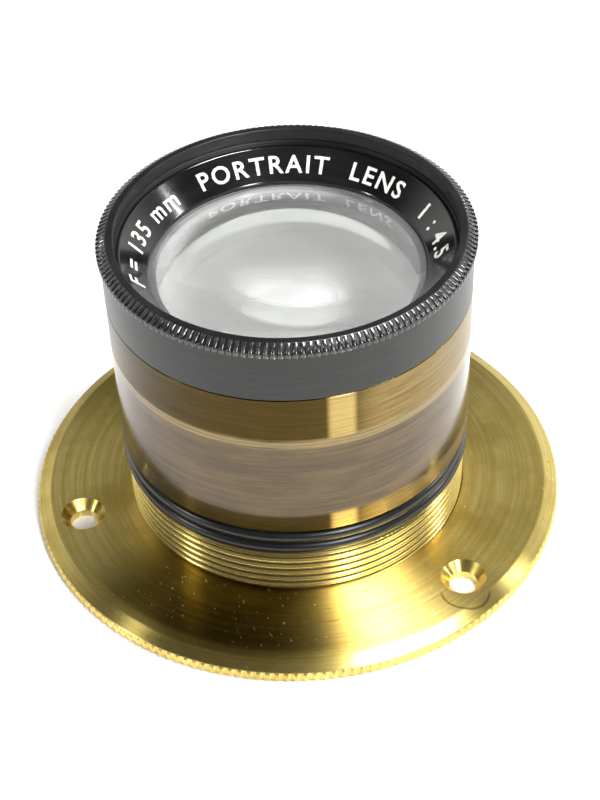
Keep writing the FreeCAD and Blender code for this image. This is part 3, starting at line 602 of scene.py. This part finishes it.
front_glass_finish = glass_finish("front_glass", 0.065, 0.12, 15.3, painted_highlights=1.0)
second_glass_finish = glass_finish("second_glass", 0.09, 0.12, 14.0)
# Painted light: the rear pair's heavy haze stands in for the bright table seen through the lens.
rear_glass_finish = glass_finish("rear_glass", 0.60, 0.60, 13.0)
print("finishes:", front_glass_finish.name, second_glass_finish.name, rear_glass_finish.name)

# %% [markdown]
# ## Helical threads
#
# A screw thread is one groove wound round the axis.  Each column of the mesh is the same
# groove section lifted a little further, and heights are held between the two ends, so
# that points past an end fall together and are merged.  The mesh closes on itself after a
# whole turn because there each groove has climbed to the place of the next.

# %% One column of a thread
PITCH = 1.0
THREAD_START = 0.35   # height of the middle of a groove at azimuth 0


def thread_column(turn, section, low, high):
    """(radius, height) up one column, turn being the share of a whole turn."""
    column = []
    for groove in range(math.floor(low / PITCH) - 2, math.ceil(high / PITCH) + 1):
        for rise, radius in section:
            column.append((radius, PITCH * (groove + turn + rise) + THREAD_START))
    clipped = []
    for index, (radius, height) in enumerate(column):
        if height < low or height > high:
            end = low if height < low else high
            for (r0, z0), (r1, z1) in zip(column, column[1:]):
                if z0 <= end <= z1 and z1 > z0:
                    radius = r0 + (r1 - r0) * (end - z0) / (z1 - z0)
            height = end
        clipped.append((radius, height))
    return clipped


# %% A whole threaded solid
def threaded_mesh(name, section, low, high, rest, columns=288, smooth_below=30):
    """A closed solid: one side is the thread, and rest is the (radius, height) of the others."""
    points, faces = [], []
    for column in range(columns + 1):
        turn = column / columns
        angle = 2 * math.pi * turn
        profile = thread_column(turn, section, low, high) + rest
        points += [(r * math.cos(angle), r * math.sin(angle), z) for r, z in profile]
    count = len(profile)
    for column in range(columns):
        for row in range(count):
            up = (row + 1) % count
            here, there = column * count, (column + 1) * count
            faces.append((here + row, there + row, there + up, here + up))
    return mesh_from(name, points, faces, smooth_below)


# %% [markdown]
# ## The mounting flange
#
# A disc with a bevelled top, a threaded bore and three countersunk screw holes.  The disc
# and its bore thread are one closed mesh, and the holes are cut from it with an exact
# Boolean, which keeps the flat top flat.  The straight knurl on its edge is made apart.

# %% The disc and the thread in its bore
FLANGE_RADIUS, FLANGE_TOP = 31.5, 2.0
FLANGE_EDGE, BEVEL_RADIUS = 1.3, 29.85    # where the bevel ends and begins
EDGE_RISE = 0.16                          # how far the knurl stands out of the edge
BORE_RADIUS, BORE_CREST = 20.12, 19.62    # the thread inside
FLAT_ENOUGH = 15      # edges bent by more degrees than this stay sharp on the flange

bore_section = [(-0.263, BORE_RADIUS), (-0.025, BORE_CREST), (0.025, BORE_CREST),
                (0.263, BORE_RADIUS)]
edge = FLANGE_RADIUS - EDGE_RISE
disc_outside = broken([(BORE_RADIUS, FLANGE_TOP, 0.0), (BEVEL_RADIUS, FLANGE_TOP, 0.12),
                       (edge, FLANGE_EDGE, 0.10), (edge, 0.0, 0.10), (BORE_RADIUS, 0.0, 0.0)])
disc_mesh = threaded_mesh("turned_flange", bore_section, 0.0, FLANGE_TOP, disc_outside[1:-1],
                          columns=360, smooth_below=FLAT_ENOUGH)
print("disc before its holes:", len(disc_mesh.polygons), "faces")

# %% The holes
HOLE_CIRCLE, HOLE_RADIUS, SINK_RADIUS, HOLE_ANGLES = 26.4, 1.6, 2.6, (-46, 74, 194)


def cutter(azimuth):
    """A countersink and its hole as one turned solid, placed on the screw circle."""
    depth = SINK_RADIUS - HOLE_RADIUS
    profile = [(0.0, -1.0), (HOLE_RADIUS, -1.0), (HOLE_RADIUS, FLANGE_TOP - depth),
               (SINK_RADIUS + 0.5, FLANGE_TOP + 0.5), (0.0, FLANGE_TOP + 0.5)]
    mesh = turned_mesh("cutter", profile, 72)
    turn = math.radians(azimuth)
    mesh.transform(Matrix.Translation(
        (HOLE_CIRCLE * math.cos(turn) * MM, HOLE_CIRCLE * math.sin(turn) * MM, 0)))
    return mesh


def cut_away(mesh, cutters, smooth_below=FLAT_ENOUGH):
    """The mesh less each cutter, by exact Boolean modifiers that are then applied."""
    blank = bpy.data.objects.new("blank", mesh)
    scene.collection.objects.link(blank)
    tools = []
    for shape in cutters:
        tool = bpy.data.objects.new("tool", shape)
        scene.collection.objects.link(tool)
        cut = blank.modifiers.new("cut", "BOOLEAN")
        cut.object, cut.operation, cut.solver = tool, "DIFFERENCE", "EXACT"
        tools.append(tool)
    depsgraph = bpy.context.evaluated_depsgraph_get()
    result = bpy.data.meshes.new_from_object(blank.evaluated_get(depsgraph))
    for used in (*tools, blank):
        bpy.data.objects.remove(used)
    result.materials.clear()
    result.shade_smooth()
    result.set_sharp_from_angle(angle=math.radians(smooth_below))
    return result


disc_mesh = cut_away(disc_mesh, [cutter(a) for a in HOLE_ANGLES])
piece("turned_flange", disc_mesh, flange_finish, "flange", "turned_brass", "mounting_flange")

# %% [markdown]
# ## Knurls
#
# A knurl is one tooth repeated round the axis, so Geometry Nodes make it: one instance of
# the tooth for each point, each turned a step further.  The tooth itself is a small ridge
# that follows a path up the edge, thinner towards the axis so that the gaps stay even.

# %% A tree that repeats a shape round the axis
def ring_tree():
    tree = bpy.data.node_groups.new("repeat_round_the_axis", "GeometryNodeTree")
    tree.is_modifier = True
    for label, kind in (("One", "NodeSocketGeometry"), ("Count", "NodeSocketInt"),
                        ("First angle", "NodeSocketFloat"), ("Finish", "NodeSocketMaterial")):
        tree.interface.new_socket(label, in_out="INPUT", socket_type=kind)
    tree.interface.new_socket("Ring", in_out="OUTPUT", socket_type="NodeSocketGeometry")
    inputs = tree.nodes.new("NodeGroupInput")
    one, count, first, finish = (Wire(tree, inputs.outputs[i]) for i in range(4))
    step = 2 * math.pi / count
    angle = add(tree, "GeometryNodeInputIndex") * step + first
    points = add(tree, "GeometryNodePoints", values={"Count": count})
    turn = add(tree, "FunctionNodeEulerToRotation", values={0: joined(tree, 0.0, 0.0, angle)})
    ring = add(tree, "GeometryNodeInstanceOnPoints",
               values={"Points": points, "Instance": one, "Rotation": turn})
    real = add(tree, "GeometryNodeRealizeInstances", values={0: ring})
    painted = add(tree, "GeometryNodeSetMaterial", values={"Geometry": real, "Material": finish})
    result = tree.nodes.new("NodeGroupOutput")
    tree.links.new(painted.socket, result.inputs[0])
    return tree


RING_TREE = ring_tree()
print("repeating tree:", len(RING_TREE.nodes), "nodes")


def repeated(name, one, count, first_angle, finish):
    """The mesh of one shape repeated count times round the axis."""
    seed = bpy.data.objects.new("seed", one)
    scene.collection.objects.link(seed)
    nodes = seed.modifiers.new("ring", "NODES")
    nodes.node_group = RING_TREE
    chosen = {"Count": count, "First angle": first_angle, "Finish": finish}
    for item in RING_TREE.interface.items_tree:
        if item.item_type == "SOCKET" and item.name in chosen:
            nodes[item.identifier] = chosen[item.name]
    depsgraph = bpy.context.evaluated_depsgraph_get()
    mesh = bpy.data.meshes.new_from_object(seed.evaluated_get(depsgraph))
    mesh.name = name
    bpy.data.objects.remove(seed)
    return mesh


# %% [markdown]
# ### One tooth
#
# A tooth is a rounded ridge, so it is one small outline carried along a path: up the edge
# and, on the black ring, over the bevel.  Each point of the path says how high the ridge
# stands there, and its foot is sunk a little so that it grows out of the ring.

# %% One tooth along a path
def tooth_mesh(path, count, sink=0.06, swell=0.96):
    """A ridge whose crest follows path [(radius, height, rise)] in the plane y = 0."""
    points, faces = [], []
    ends = len(path) - 1
    # half of the ridge's section: share of the half width, share of the rise
    section = [(1.0, 0.0), (0.62, 0.62), (0.40, 0.88), (0.16, 0.99)]
    section = [(-w, h) for w, h in section] + [(w, h) for w, h in reversed(section)]
    for index, (radius, height, rise) in enumerate(path):
        ahead = path[min(index + 1, ends)]
        behind = path[max(index - 1, 0)]
        along = Vector((ahead[0] - behind[0], ahead[1] - behind[1])).normalized()
        out = Vector((along.y, -along.x))
        half = math.pi * radius / count * swell
        for width, share in section:
            down = rise * (1 - share) + (sink if share == 0.0 else 0.0)
            spot = Vector((radius, height)) - out * down
            points.append((spot.x, half * width, spot.y))
    sides = len(section)
    for index in range(ends):
        here, there = index * sides, (index + 1) * sides
        for side in range(sides):
            after = (side + 1) % sides
            faces.append((here + side, here + after, there + after, there + side))
    faces += [tuple(range(sides - 1, -1, -1)), tuple(range(ends * sides, ends * sides + sides))]
    return mesh_from("tooth", points, faces, smooth_below=50)


# %% The knurl on the flange's edge
EDGE_TEETH = 188
flange_path = [(31.36, 0.06, 0.05), (FLANGE_RADIUS, 0.16, EDGE_RISE),
               (FLANGE_RADIUS, 1.06, EDGE_RISE), (31.36, 1.22, 0.05)]
flange_knurl = repeated("flange_edge_knurl", tooth_mesh(flange_path, EDGE_TEETH), EDGE_TEETH,
                        0.0, flange_finish)
piece("flange_edge_knurl", flange_knurl, flange_finish, "flange", "turned_brass")

# %% [markdown]
# ## The barrel
#
# From the rear: a threaded sleeve, a black ring with two beads, and the long lacquered tube
# whose upper end slips inside the aperture ring.  The sleeve's crests are rounded, because
# a worn crest is what shows as a row of bright arcs.

# %% The threaded sleeve
SLEEVE_LOW, SLEEVE_HIGH, SLEEVE_BORE = 0.9, 7.6, 16.6
THREAD_CREST = 20.0
crest_edge = eased(Vector((0.2535, 19.877)), Vector((0.32, THREAD_CREST)),
                   Vector((0.46, THREAD_CREST)), 5)
sleeve_section = [(-0.05, THREAD_ROOT), (0.05, THREAD_ROOT), *crest_edge,
                  *[(1 - rise, radius) for rise, radius in reversed(crest_edge)]]
spigot, spigot_top = 17.95, 13.55    # the part that goes up into the barrel
sleeve_rest = [(THREAD_ROOT, BEAD_FOOT), (18.75, 7.95), (18.75, 11.75), (spigot, BARREL_FOOT),
               (spigot, spigot_top), (SLEEVE_BORE, spigot_top), (SLEEVE_BORE, SLEEVE_LOW)]
sleeve_mesh = threaded_mesh("threaded_sleeve", sleeve_section, SLEEVE_LOW, SLEEVE_HIGH,
                            sleeve_rest)
piece("threaded_sleeve", sleeve_mesh, thread_finish, "barrel", "turned_brass", "thread_sleeve")

# %% [markdown]
# ### The double bead
#
# A black ring is clamped between the sleeve and the tube.  It has two round beads and a
# narrow flat neck above them.  Its profile is two half circles between short straight lines.

# %% The double bead
def bead(centre, radius=0.8, seat=THREAD_ROOT, steps=12):
    """Half a circle bulging outwards, from below to above its centre."""
    return [(seat + radius * math.sin(math.pi * i / steps),
             centre - radius * math.cos(math.pi * i / steps), 0) for i in range(steps + 1)]


bead_bore, bead_corner = 18.8, 0.03
bead_profile = [(bead_bore, BEAD_FOOT), (THREAD_ROOT, BEAD_FOOT, bead_corner), *bead(8.8),
                *bead(10.4), (THREAD_ROOT, 11.25, bead_corner),
                (THREAD_ROOT, BARREL_FOOT, bead_corner), (bead_bore, BARREL_FOOT)]
piece("double_bead", turned_mesh("double_bead", broken(bead_profile, 0.04)), bead_black,
      "barrel", "black_enamel", "bead_ring")

# %% [markdown]
# ### The barrel tube
#
# One turned profile gives the tube, the neck that the black ring turns on, and the web
# inside that the iris stands on.  Two small holes take the set screws, and a slot round
# part of the neck lets the drive screw travel with the ring.  Boolean cuts make them,
# because they run across the turned shape.

# %% The tube's profile
NECK_RADIUS, CHAMBER_RADIUS = 19.35, 18.6    # the neck's outside, and the bore above the web
FOOT_GAP = 0.02                              # keeps the tube's end off the bead ring
socket_bore, web_bore = 18.0, 16.8
web_low, web_high, neck_top = 13.6, 14.3, 36.7
tube_foot = BARREL_FOOT + FOOT_GAP
tube_profile = [(socket_bore, tube_foot), (BARREL_RADIUS, tube_foot, 0.12),
                (BARREL_RADIUS, SHOULDER, 0.08), (NECK_RADIUS, SHOULDER, 0.02),
                (NECK_RADIUS, neck_top), (CHAMBER_RADIUS, neck_top),
                (CHAMBER_RADIUS, web_high), (web_bore, web_high), (web_bore, web_low),
                (socket_bore, web_low)]
print("tube profile:", len(tube_profile), "corners")

# %% Its holes and its slot
SCREW_ANGLES, SCREW_HEIGHT, SCREW_RADIUS = (35, 145), 12.7, 0.6
SLOT_ANGLES, SLOT_HEIGHTS = (46, 122), (31.65, 33.05)


def radial_cutter(azimuth, height, radius):
    """A drill of one radius that points outwards through the tube's wall."""
    mesh = turned_mesh("drill", [(0.0, 17.5), (radius, 17.5), (radius, 21.0), (0.0, 21.0)], 32)
    mesh.transform(Matrix.Translation((0.0, 0.0, height * MM))
                   @ Matrix.Rotation(math.radians(azimuth), 4, "Z")
                   @ Matrix.Rotation(math.radians(90), 4, "Y"))
    return mesh


def slot_cutter(first, last, low, high, steps=40):
    """A curved block that cuts a slot through the neck from one azimuth to another."""
    inner, outer = CHAMBER_RADIUS - 0.2, NECK_RADIUS + 0.25
    section = ((inner, low), (outer, low), (outer, high), (inner, high))
    points, faces = [], []
    for step in range(steps + 1):
        turn = math.radians(first + (last - first) * step / steps)
        points += [(radius * math.cos(turn), radius * math.sin(turn), height)
                   for radius, height in section]
    for step in range(steps):
        here, there = step * 4, step * 4 + 4
        faces += [(here + side, here + (side + 1) % 4, there + (side + 1) % 4, there + side)
                  for side in range(4)]
    faces += [(3, 2, 1, 0), tuple(range(steps * 4, steps * 4 + 4))]
    return mesh_from("slot", points, faces)


drills = [radial_cutter(azimuth, SCREW_HEIGHT, SCREW_RADIUS) for azimuth in SCREW_ANGLES]
barrel_mesh = cut_away(turned_mesh("barrel_wall", broken(tube_profile)),
                       [*drills, slot_cutter(*SLOT_ANGLES, *SLOT_HEIGHTS)], smooth_below=35)
piece("barrel_wall", barrel_mesh, barrel_finish, "barrel", "lacquered_brass", "barrel_tube")

# %% [markdown]
# ## The aperture ring
#
# A black ring that turns on the barrel's neck.  Its band is satin; its upper edge has a
# deep straight knurl that runs over the bevel to a narrow smooth lip.

# %% Ring body and knurl
RIM_TEETH, RIM_RISE = 170, 0.22
rim = KNURL_RADIUS - RIM_RISE
ring_bore, lip_bore, lip_low = 19.4, 18.7, 36.85
ring_foot, knurl_foot, ring_top = SHOULDER + 0.05, 37.0, 38.25
ring_profile = [(ring_bore, ring_foot), (BARREL_RADIUS, ring_foot, 0.10),
                (BARREL_RADIUS, knurl_foot - 0.06, 0.03), (rim, knurl_foot, 0.05),
                (rim, KNURL_TOP - 0.04, 0.10), (19.46, ring_top, 0.05),
                (lip_bore, ring_top, 0.10), (lip_bore, lip_low), (ring_bore, lip_low)]
piece("stop_ring", turned_mesh("stop_ring", broken(ring_profile)), satin_black, "aperture",
      "black_enamel", "aperture_ring")
rim_path = [(20.50, 36.97, 0.03), (KNURL_RADIUS, 37.06, RIM_RISE),
            (KNURL_RADIUS, 37.52, RIM_RISE), (20.58, 37.66, RIM_RISE), (19.86, 38.10, 0.15),
            (19.56, 38.245, 0.05)]
rim_knurl = repeated("stop_ring_knurl", tooth_mesh(rim_path, RIM_TEETH), RIM_TEETH, 0.0,
                     knurl_finish)
piece("stop_ring_knurl", rim_knurl, knurl_finish, "aperture", "black_enamel")

# %% [markdown]
# ## The bezel and its lettering
#
# The black bezel holds the front glass.  Its cone carries white-filled engraving that reads
# from the front, tops outwards.  The words here are generic.  Text is made as a mesh first
# and then each point is laid on the cone, so that the letters follow it.

# %% The bezel
cone_inside, cone_outside = 15.3, 18.2
bezel_foot, bezel_seat, bezel_top = 32.85, 34.7, 36.2
bezel_profile = [(cone_inside, bezel_foot), (cone_inside, 33.3, 0.12),
                 (cone_outside, bezel_top, 0.10), (18.55, bezel_top, 0.08),
                 (18.55, bezel_seat), (17.0, bezel_seat), (17.0, bezel_foot)]
piece("bezel", turned_mesh("bezel", broken(bezel_profile)), glossy_black, "barrel",
      "black_enamel", "name_ring")


# %% Letters as points and faces
CAPITAL_SHARE = 0.72     # a capital's height as a share of the font's size
LONGEST_EDGE = 0.6       # longer edges are split, so that the letters can bend


def letter_points(words, height, weight=0.0):
    """The points (mm) and faces of flat, slightly thick text centred on the origin."""
    text = bpy.data.curves.new("words", "FONT")
    text.body, text.size, text.align_x = words, height / CAPITAL_SHARE, "CENTER"
    text.extrude, text.resolution_u, text.offset = 0.03, 3, weight
    text.space_character = 1.22
    shown = bpy.data.objects.new("words", text)
    scene.collection.objects.link(shown)
    depsgraph = bpy.context.evaluated_depsgraph_get()
    mesh = bpy.data.meshes.new_from_object(shown.evaluated_get(depsgraph))
    bpy.data.objects.remove(shown)
    made = bmesh.new()
    made.from_mesh(mesh)
    bmesh.ops.remove_doubles(made, verts=made.verts, dist=1e-4)
    bmesh.ops.triangulate(made, faces=made.faces)
    for _ in range(2):
        long = [e for e in made.edges if e.calc_length() > LONGEST_EDGE]
        bmesh.ops.subdivide_edges(made, edges=long, cuts=1)
        bmesh.ops.triangulate(made, faces=made.faces)
    made.verts.index_update()
    points = [tuple(v.co) for v in made.verts]
    faces = [tuple(v.index for v in f.verts) for f in made.faces]
    made.free()
    return points, faces


# %% Letters laid on the bezel's cone
def lettering(words, place, height, weight=0.0):
    """Text whose point (across, up, lift) in millimetres goes to place(across, up, lift)."""
    points, faces = letter_points(words, height, weight)
    return [place(*p) for p in points], faces


def on_cone(azimuth):
    """A place on the bezel's cone: across runs clockwise, up runs outwards."""
    middle_radius, middle_height, slant = 16.72, 34.72, math.sqrt(0.5)

    def place(across, up, lift):
        up = up - 1.0    # so that the middle of a letter lies on the middle of the cone
        radius = middle_radius + up * slant - (lift - 0.005) * slant
        height = middle_height + up * slant + (lift - 0.005) * slant
        angle = math.radians(azimuth) - across / middle_radius
        return radius * math.cos(angle), radius * math.sin(angle), height
    return place


def letter_piece(name, entries, body, slot, height, weight=0.0):
    """Several words on one surface as one piece."""
    points, faces = [], []
    for words, place in entries:
        more, sides = lettering(words, place, height, weight)
        faces += [tuple(i + len(points) for i in face) for face in sides]
        points += more
    piece(name, mesh_from(name, points, faces, 30), white_fill, body, slot)


bezel_words = [("PORTRAIT", on_cone(99)), ("LENS", on_cone(50)), ("1 : 4.5", on_cone(9)),
               ("F = 135 mm", on_cone(167)), ("OPTICAL GLASS", on_cone(-92))]
letter_piece("bezel_lettering", bezel_words, "barrel", "black_enamel",
             height=2.1, weight=0.045)

# %% [markdown]
# ### The aperture numbers
#
# The band of the black ring carries its f-numbers, a stop apart, on the side away from the
# viewer.  They are the same kind of letters, wrapped round a cylinder instead of a cone.

# %% Numbers on the aperture ring
STOPS = ("4.5", "6.3", "9", "12.5", "18")
FIRST_STOP, STOP_STEP = 90, 17    # the azimuth of the first number, and degrees to the next


def on_band(azimuth, low):
    """A place on the black band: across runs anticlockwise, seen from outside."""
    def place(across, up, lift):
        angle = math.radians(azimuth) + across / BARREL_RADIUS
        radius = BARREL_RADIUS + lift - 0.015
        return radius * math.cos(angle), radius * math.sin(angle), low + up
    return place


scale = [(number, on_band(FIRST_STOP - STOP_STEP * index, 32.6))
         for index, number in enumerate(STOPS)]
letter_piece("stop_numbers", scale, "aperture", "black_enamel", height=1.5)

# %% [markdown]
# ## Glass
#
# Four elements: two in front of the iris and a cemented pair behind it.  Each is a turned
# solid whose two faces are parts of spheres.  The profile starts and ends on the axis, so
# the turned mesh closes there with a fan of triangles.

# %% The four elements
def lens(name, rim, front, back, finish, node, segments=160):
    """rim is (radius, low, high); front and back are (reach, apex height) of each face."""
    radius, low, high = rim
    front_reach, front_apex = front
    back_reach, back_apex = back
    profile = [(radius, low, 0.05), (radius, high, 0.05)]
    profile += dome(front_reach, high, front_apex)
    profile += dome(back_reach, low, back_apex)[::-1]
    mesh = turned_mesh(name, broken(profile, 0.0), segments)
    piece(name, mesh, finish, "optics", "glass", node)


lens("front_glass", (15.85, 31.2, 32.8), (15.3, 35.8), (15.7, 30.9), front_glass_finish,
     "front_element")
lens("second_glass", (13.95, 21.2, 26.5), (13.8, 25.3), (13.8, 23.7), second_glass_finish,
     "second_element")
lens("rear_inner_glass", (13.45, 7.6, 12.55), (13.3, 12.1), (13.3, 10.6), rear_glass_finish,
     "rear_inner_element")
lens("rear_outer_glass", (13.45, 6.15, 7.5), (13.3, 10.5), (12.9, 4.6), rear_glass_finish,
     "rear_outer_element")

# %% [markdown]
# ## Pieces whose CAD shape is right
#
# The cells, spacers, iris parts and screws keep their CAD shape.  They only need a finish,
# which goes into the slots that their meshes already have.

# %% Dress the CAD nodes
finish_of = {
    "front_cell": matt_black, "front_spacer": matt_black, "second_retainer": matt_black,
    "iris_base_plate": matt_black, "iris_drive_ring": matt_black, "rear_cell": satin_black,
    "rear_retaining_ring": satin_black, "drive_screw": screw_steel,
    "set_screw_1": screw_steel, "set_screw_2": screw_steel}
finish_of.update({f"iris_leaf_{number}": leaf_steel for number in range(1, 8)})
for node, finish in finish_of.items():
    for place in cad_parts[node].material_slots:
        place.material = finish
print("dressed:", ", ".join(sorted(finish_of)))

# %% [markdown]
# ## Floor, light and camera
#
# The lens stands on a white table.  Turned metal is a mirror with grooves: it shows mostly
# what is around it, so the room matters as much as the lamps.

# %% The table
def floor_finish():
    finish, tree = new_finish("white_table")
    spot = add(tree, "ShaderNodeTexCoord", output="Object")
    cloth = noise(tree, spot, 900.0, 3.0)
    colour = blended(tree, cloth, (0.86, 0.86, 0.85), (0.90, 0.90, 0.89))
    return surfaced(finish, tree, Base_Color=colour, Roughness=0.8, Emission_Strength=0.12,
                    Emission_Color=(1.0, 1.0, 1.0, 1.0), Normal=bumped(tree, cloth, 0.05, 0.2))


TABLE_REACH = 3000    # mm from the middle, so that no edge is in view
table_corners = [(x * TABLE_REACH, y * TABLE_REACH, 0)
                 for x, y in ((-1, -1), (1, -1), (1, 1), (-1, 1))]
floor_mesh = mesh_from("table_top", table_corners, [(0, 1, 2, 3)], outwards=False)
floor_mesh.materials.append(floor_finish())
floor = bpy.data.objects.new("table_top", floor_mesh)
scene.collection.objects.link(floor)
print("table:", [round(v, 2) for v in floor.dimensions])

# %% [markdown]
# ### The room
#
# The room is brighter behind the object, to the right and to the left, than on the viewer's
# side, and metal shows that as its bright and dark parts.  A world shader that reads the
# direction is enough, and needs no walls.

# %% A room brighter behind than in front
def room():
    world = bpy.data.worlds.new("room")
    scene.world = world
    world.use_nodes = True
    tree = world.node_tree
    tree.nodes.clear()
    way = add(tree, "ShaderNodeTexCoord", output="Generated")
    apart = add(tree, "ShaderNodeSeparateXYZ", values={0: way}).socket.node
    x, y, z = (Wire(tree, apart.outputs[i]) for i in range(3))
    behind = between(tree, y, 0.05, 0.6) * between(tree, z, 0.88, 0.70)
    right = between(tree, x, -0.05, 0.6)
    left = between(tree, x, -0.22, -0.7)
    front = between(tree, y, -0.1, -0.5) * between(tree, z, 0.25, 0.6)
    glow = 0.06 + behind * (0.13 + right * 0.95 + left * 0.75) + front * 0.14
    light = add(tree, "ShaderNodeBackground",
                values={"Color": (1.0, 0.99, 0.97, 1.0), "Strength": glow})
    add(tree, "ShaderNodeOutputWorld", values={"Surface": light})
    print("world:", world.name)


room()

# %% [markdown]
# ### Lamps
#
# A soft lamp overhead on the right lays the bright spoke across the flange, and a narrow
# window in front on the right draws the upright streak on the thread and a soft one on the
# barrel, where a painted reflection strip makes it brighter.  Two faint panes give the sides
# an edge of light.

# %% Four rectangles of light
def lamp(name, place, aim, width, height, watts):
    """A rectangular lamp at place (mm) that shines towards aim (mm)."""
    light = bpy.data.lights.new(name, "AREA")
    light.shape, light.size, light.size_y = "RECTANGLE", width * MM, height * MM
    light.energy = watts
    shown = bpy.data.objects.new(name, light)
    scene.collection.objects.link(shown)
    place, aim = Vector(place) * MM, Vector(aim) * MM
    shown.location = place
    shown.rotation_euler = (aim - place).to_track_quat("-Z", "Y").to_euler()
    shown.visible_transmission = False   # the glass would mirror it as a bare rectangle
    print(f"lamp {name}: {watts} W, {width} by {height} mm")


lamp("ceiling", (245, -20, 700), (0, 0, 0), 150, 260, 7.0)
lamp("front_window", (262, -470, 430), (0, 0, 20), 110, 260, 3.0)
lamp("left_pane", (-600, -220, 330), (0, 0, 30), 50, 160, 1.0)
lamp("right_pane", (600, 60, 360), (0, 0, 30), 50, 160, 1.0)

# %% [markdown]
# ### The camera
#
# It stands 21 cm away in front and looks down by 42 degrees, with a slight roll.

# %% The camera
CAMERA_PLACE = Vector((0.0, -0.14960, 0.14837))    # metres
YAW, PITCH, ROLL = 0.00468, 0.73601, -0.04139      # radians
FOCAL_LENGTH = 77.389                              # millimetres


def camera(place, yaw, pitch, roll, lens_length):
    """A camera at place (m): yaw from +Y to +X, pitch downwards and roll, in radians."""
    ahead = Vector((math.sin(yaw) * math.cos(pitch), math.cos(yaw) * math.cos(pitch),
                    -math.sin(pitch)))
    level = Vector((math.cos(yaw), -math.sin(yaw), 0))
    upright = level.cross(ahead)
    right = level * math.cos(roll) + upright * math.sin(roll)
    up = upright * math.cos(roll) - level * math.sin(roll)
    view = bpy.data.cameras.new("camera")
    view.sensor_width, view.lens, view.clip_start = 36.0, lens_length, 0.005
    shown = bpy.data.objects.new("camera", view)
    scene.collection.objects.link(shown)
    shown.matrix_world = Matrix.Translation(place) @ Matrix(
        (right, up, -ahead)).transposed().to_4x4()
    scene.camera = shown


camera(CAMERA_PLACE, YAW, PITCH, ROLL, FOCAL_LENGTH)
scene.view_settings.view_transform = "Standard"
print("camera at", [round(v, 4) for v in scene.camera.location])
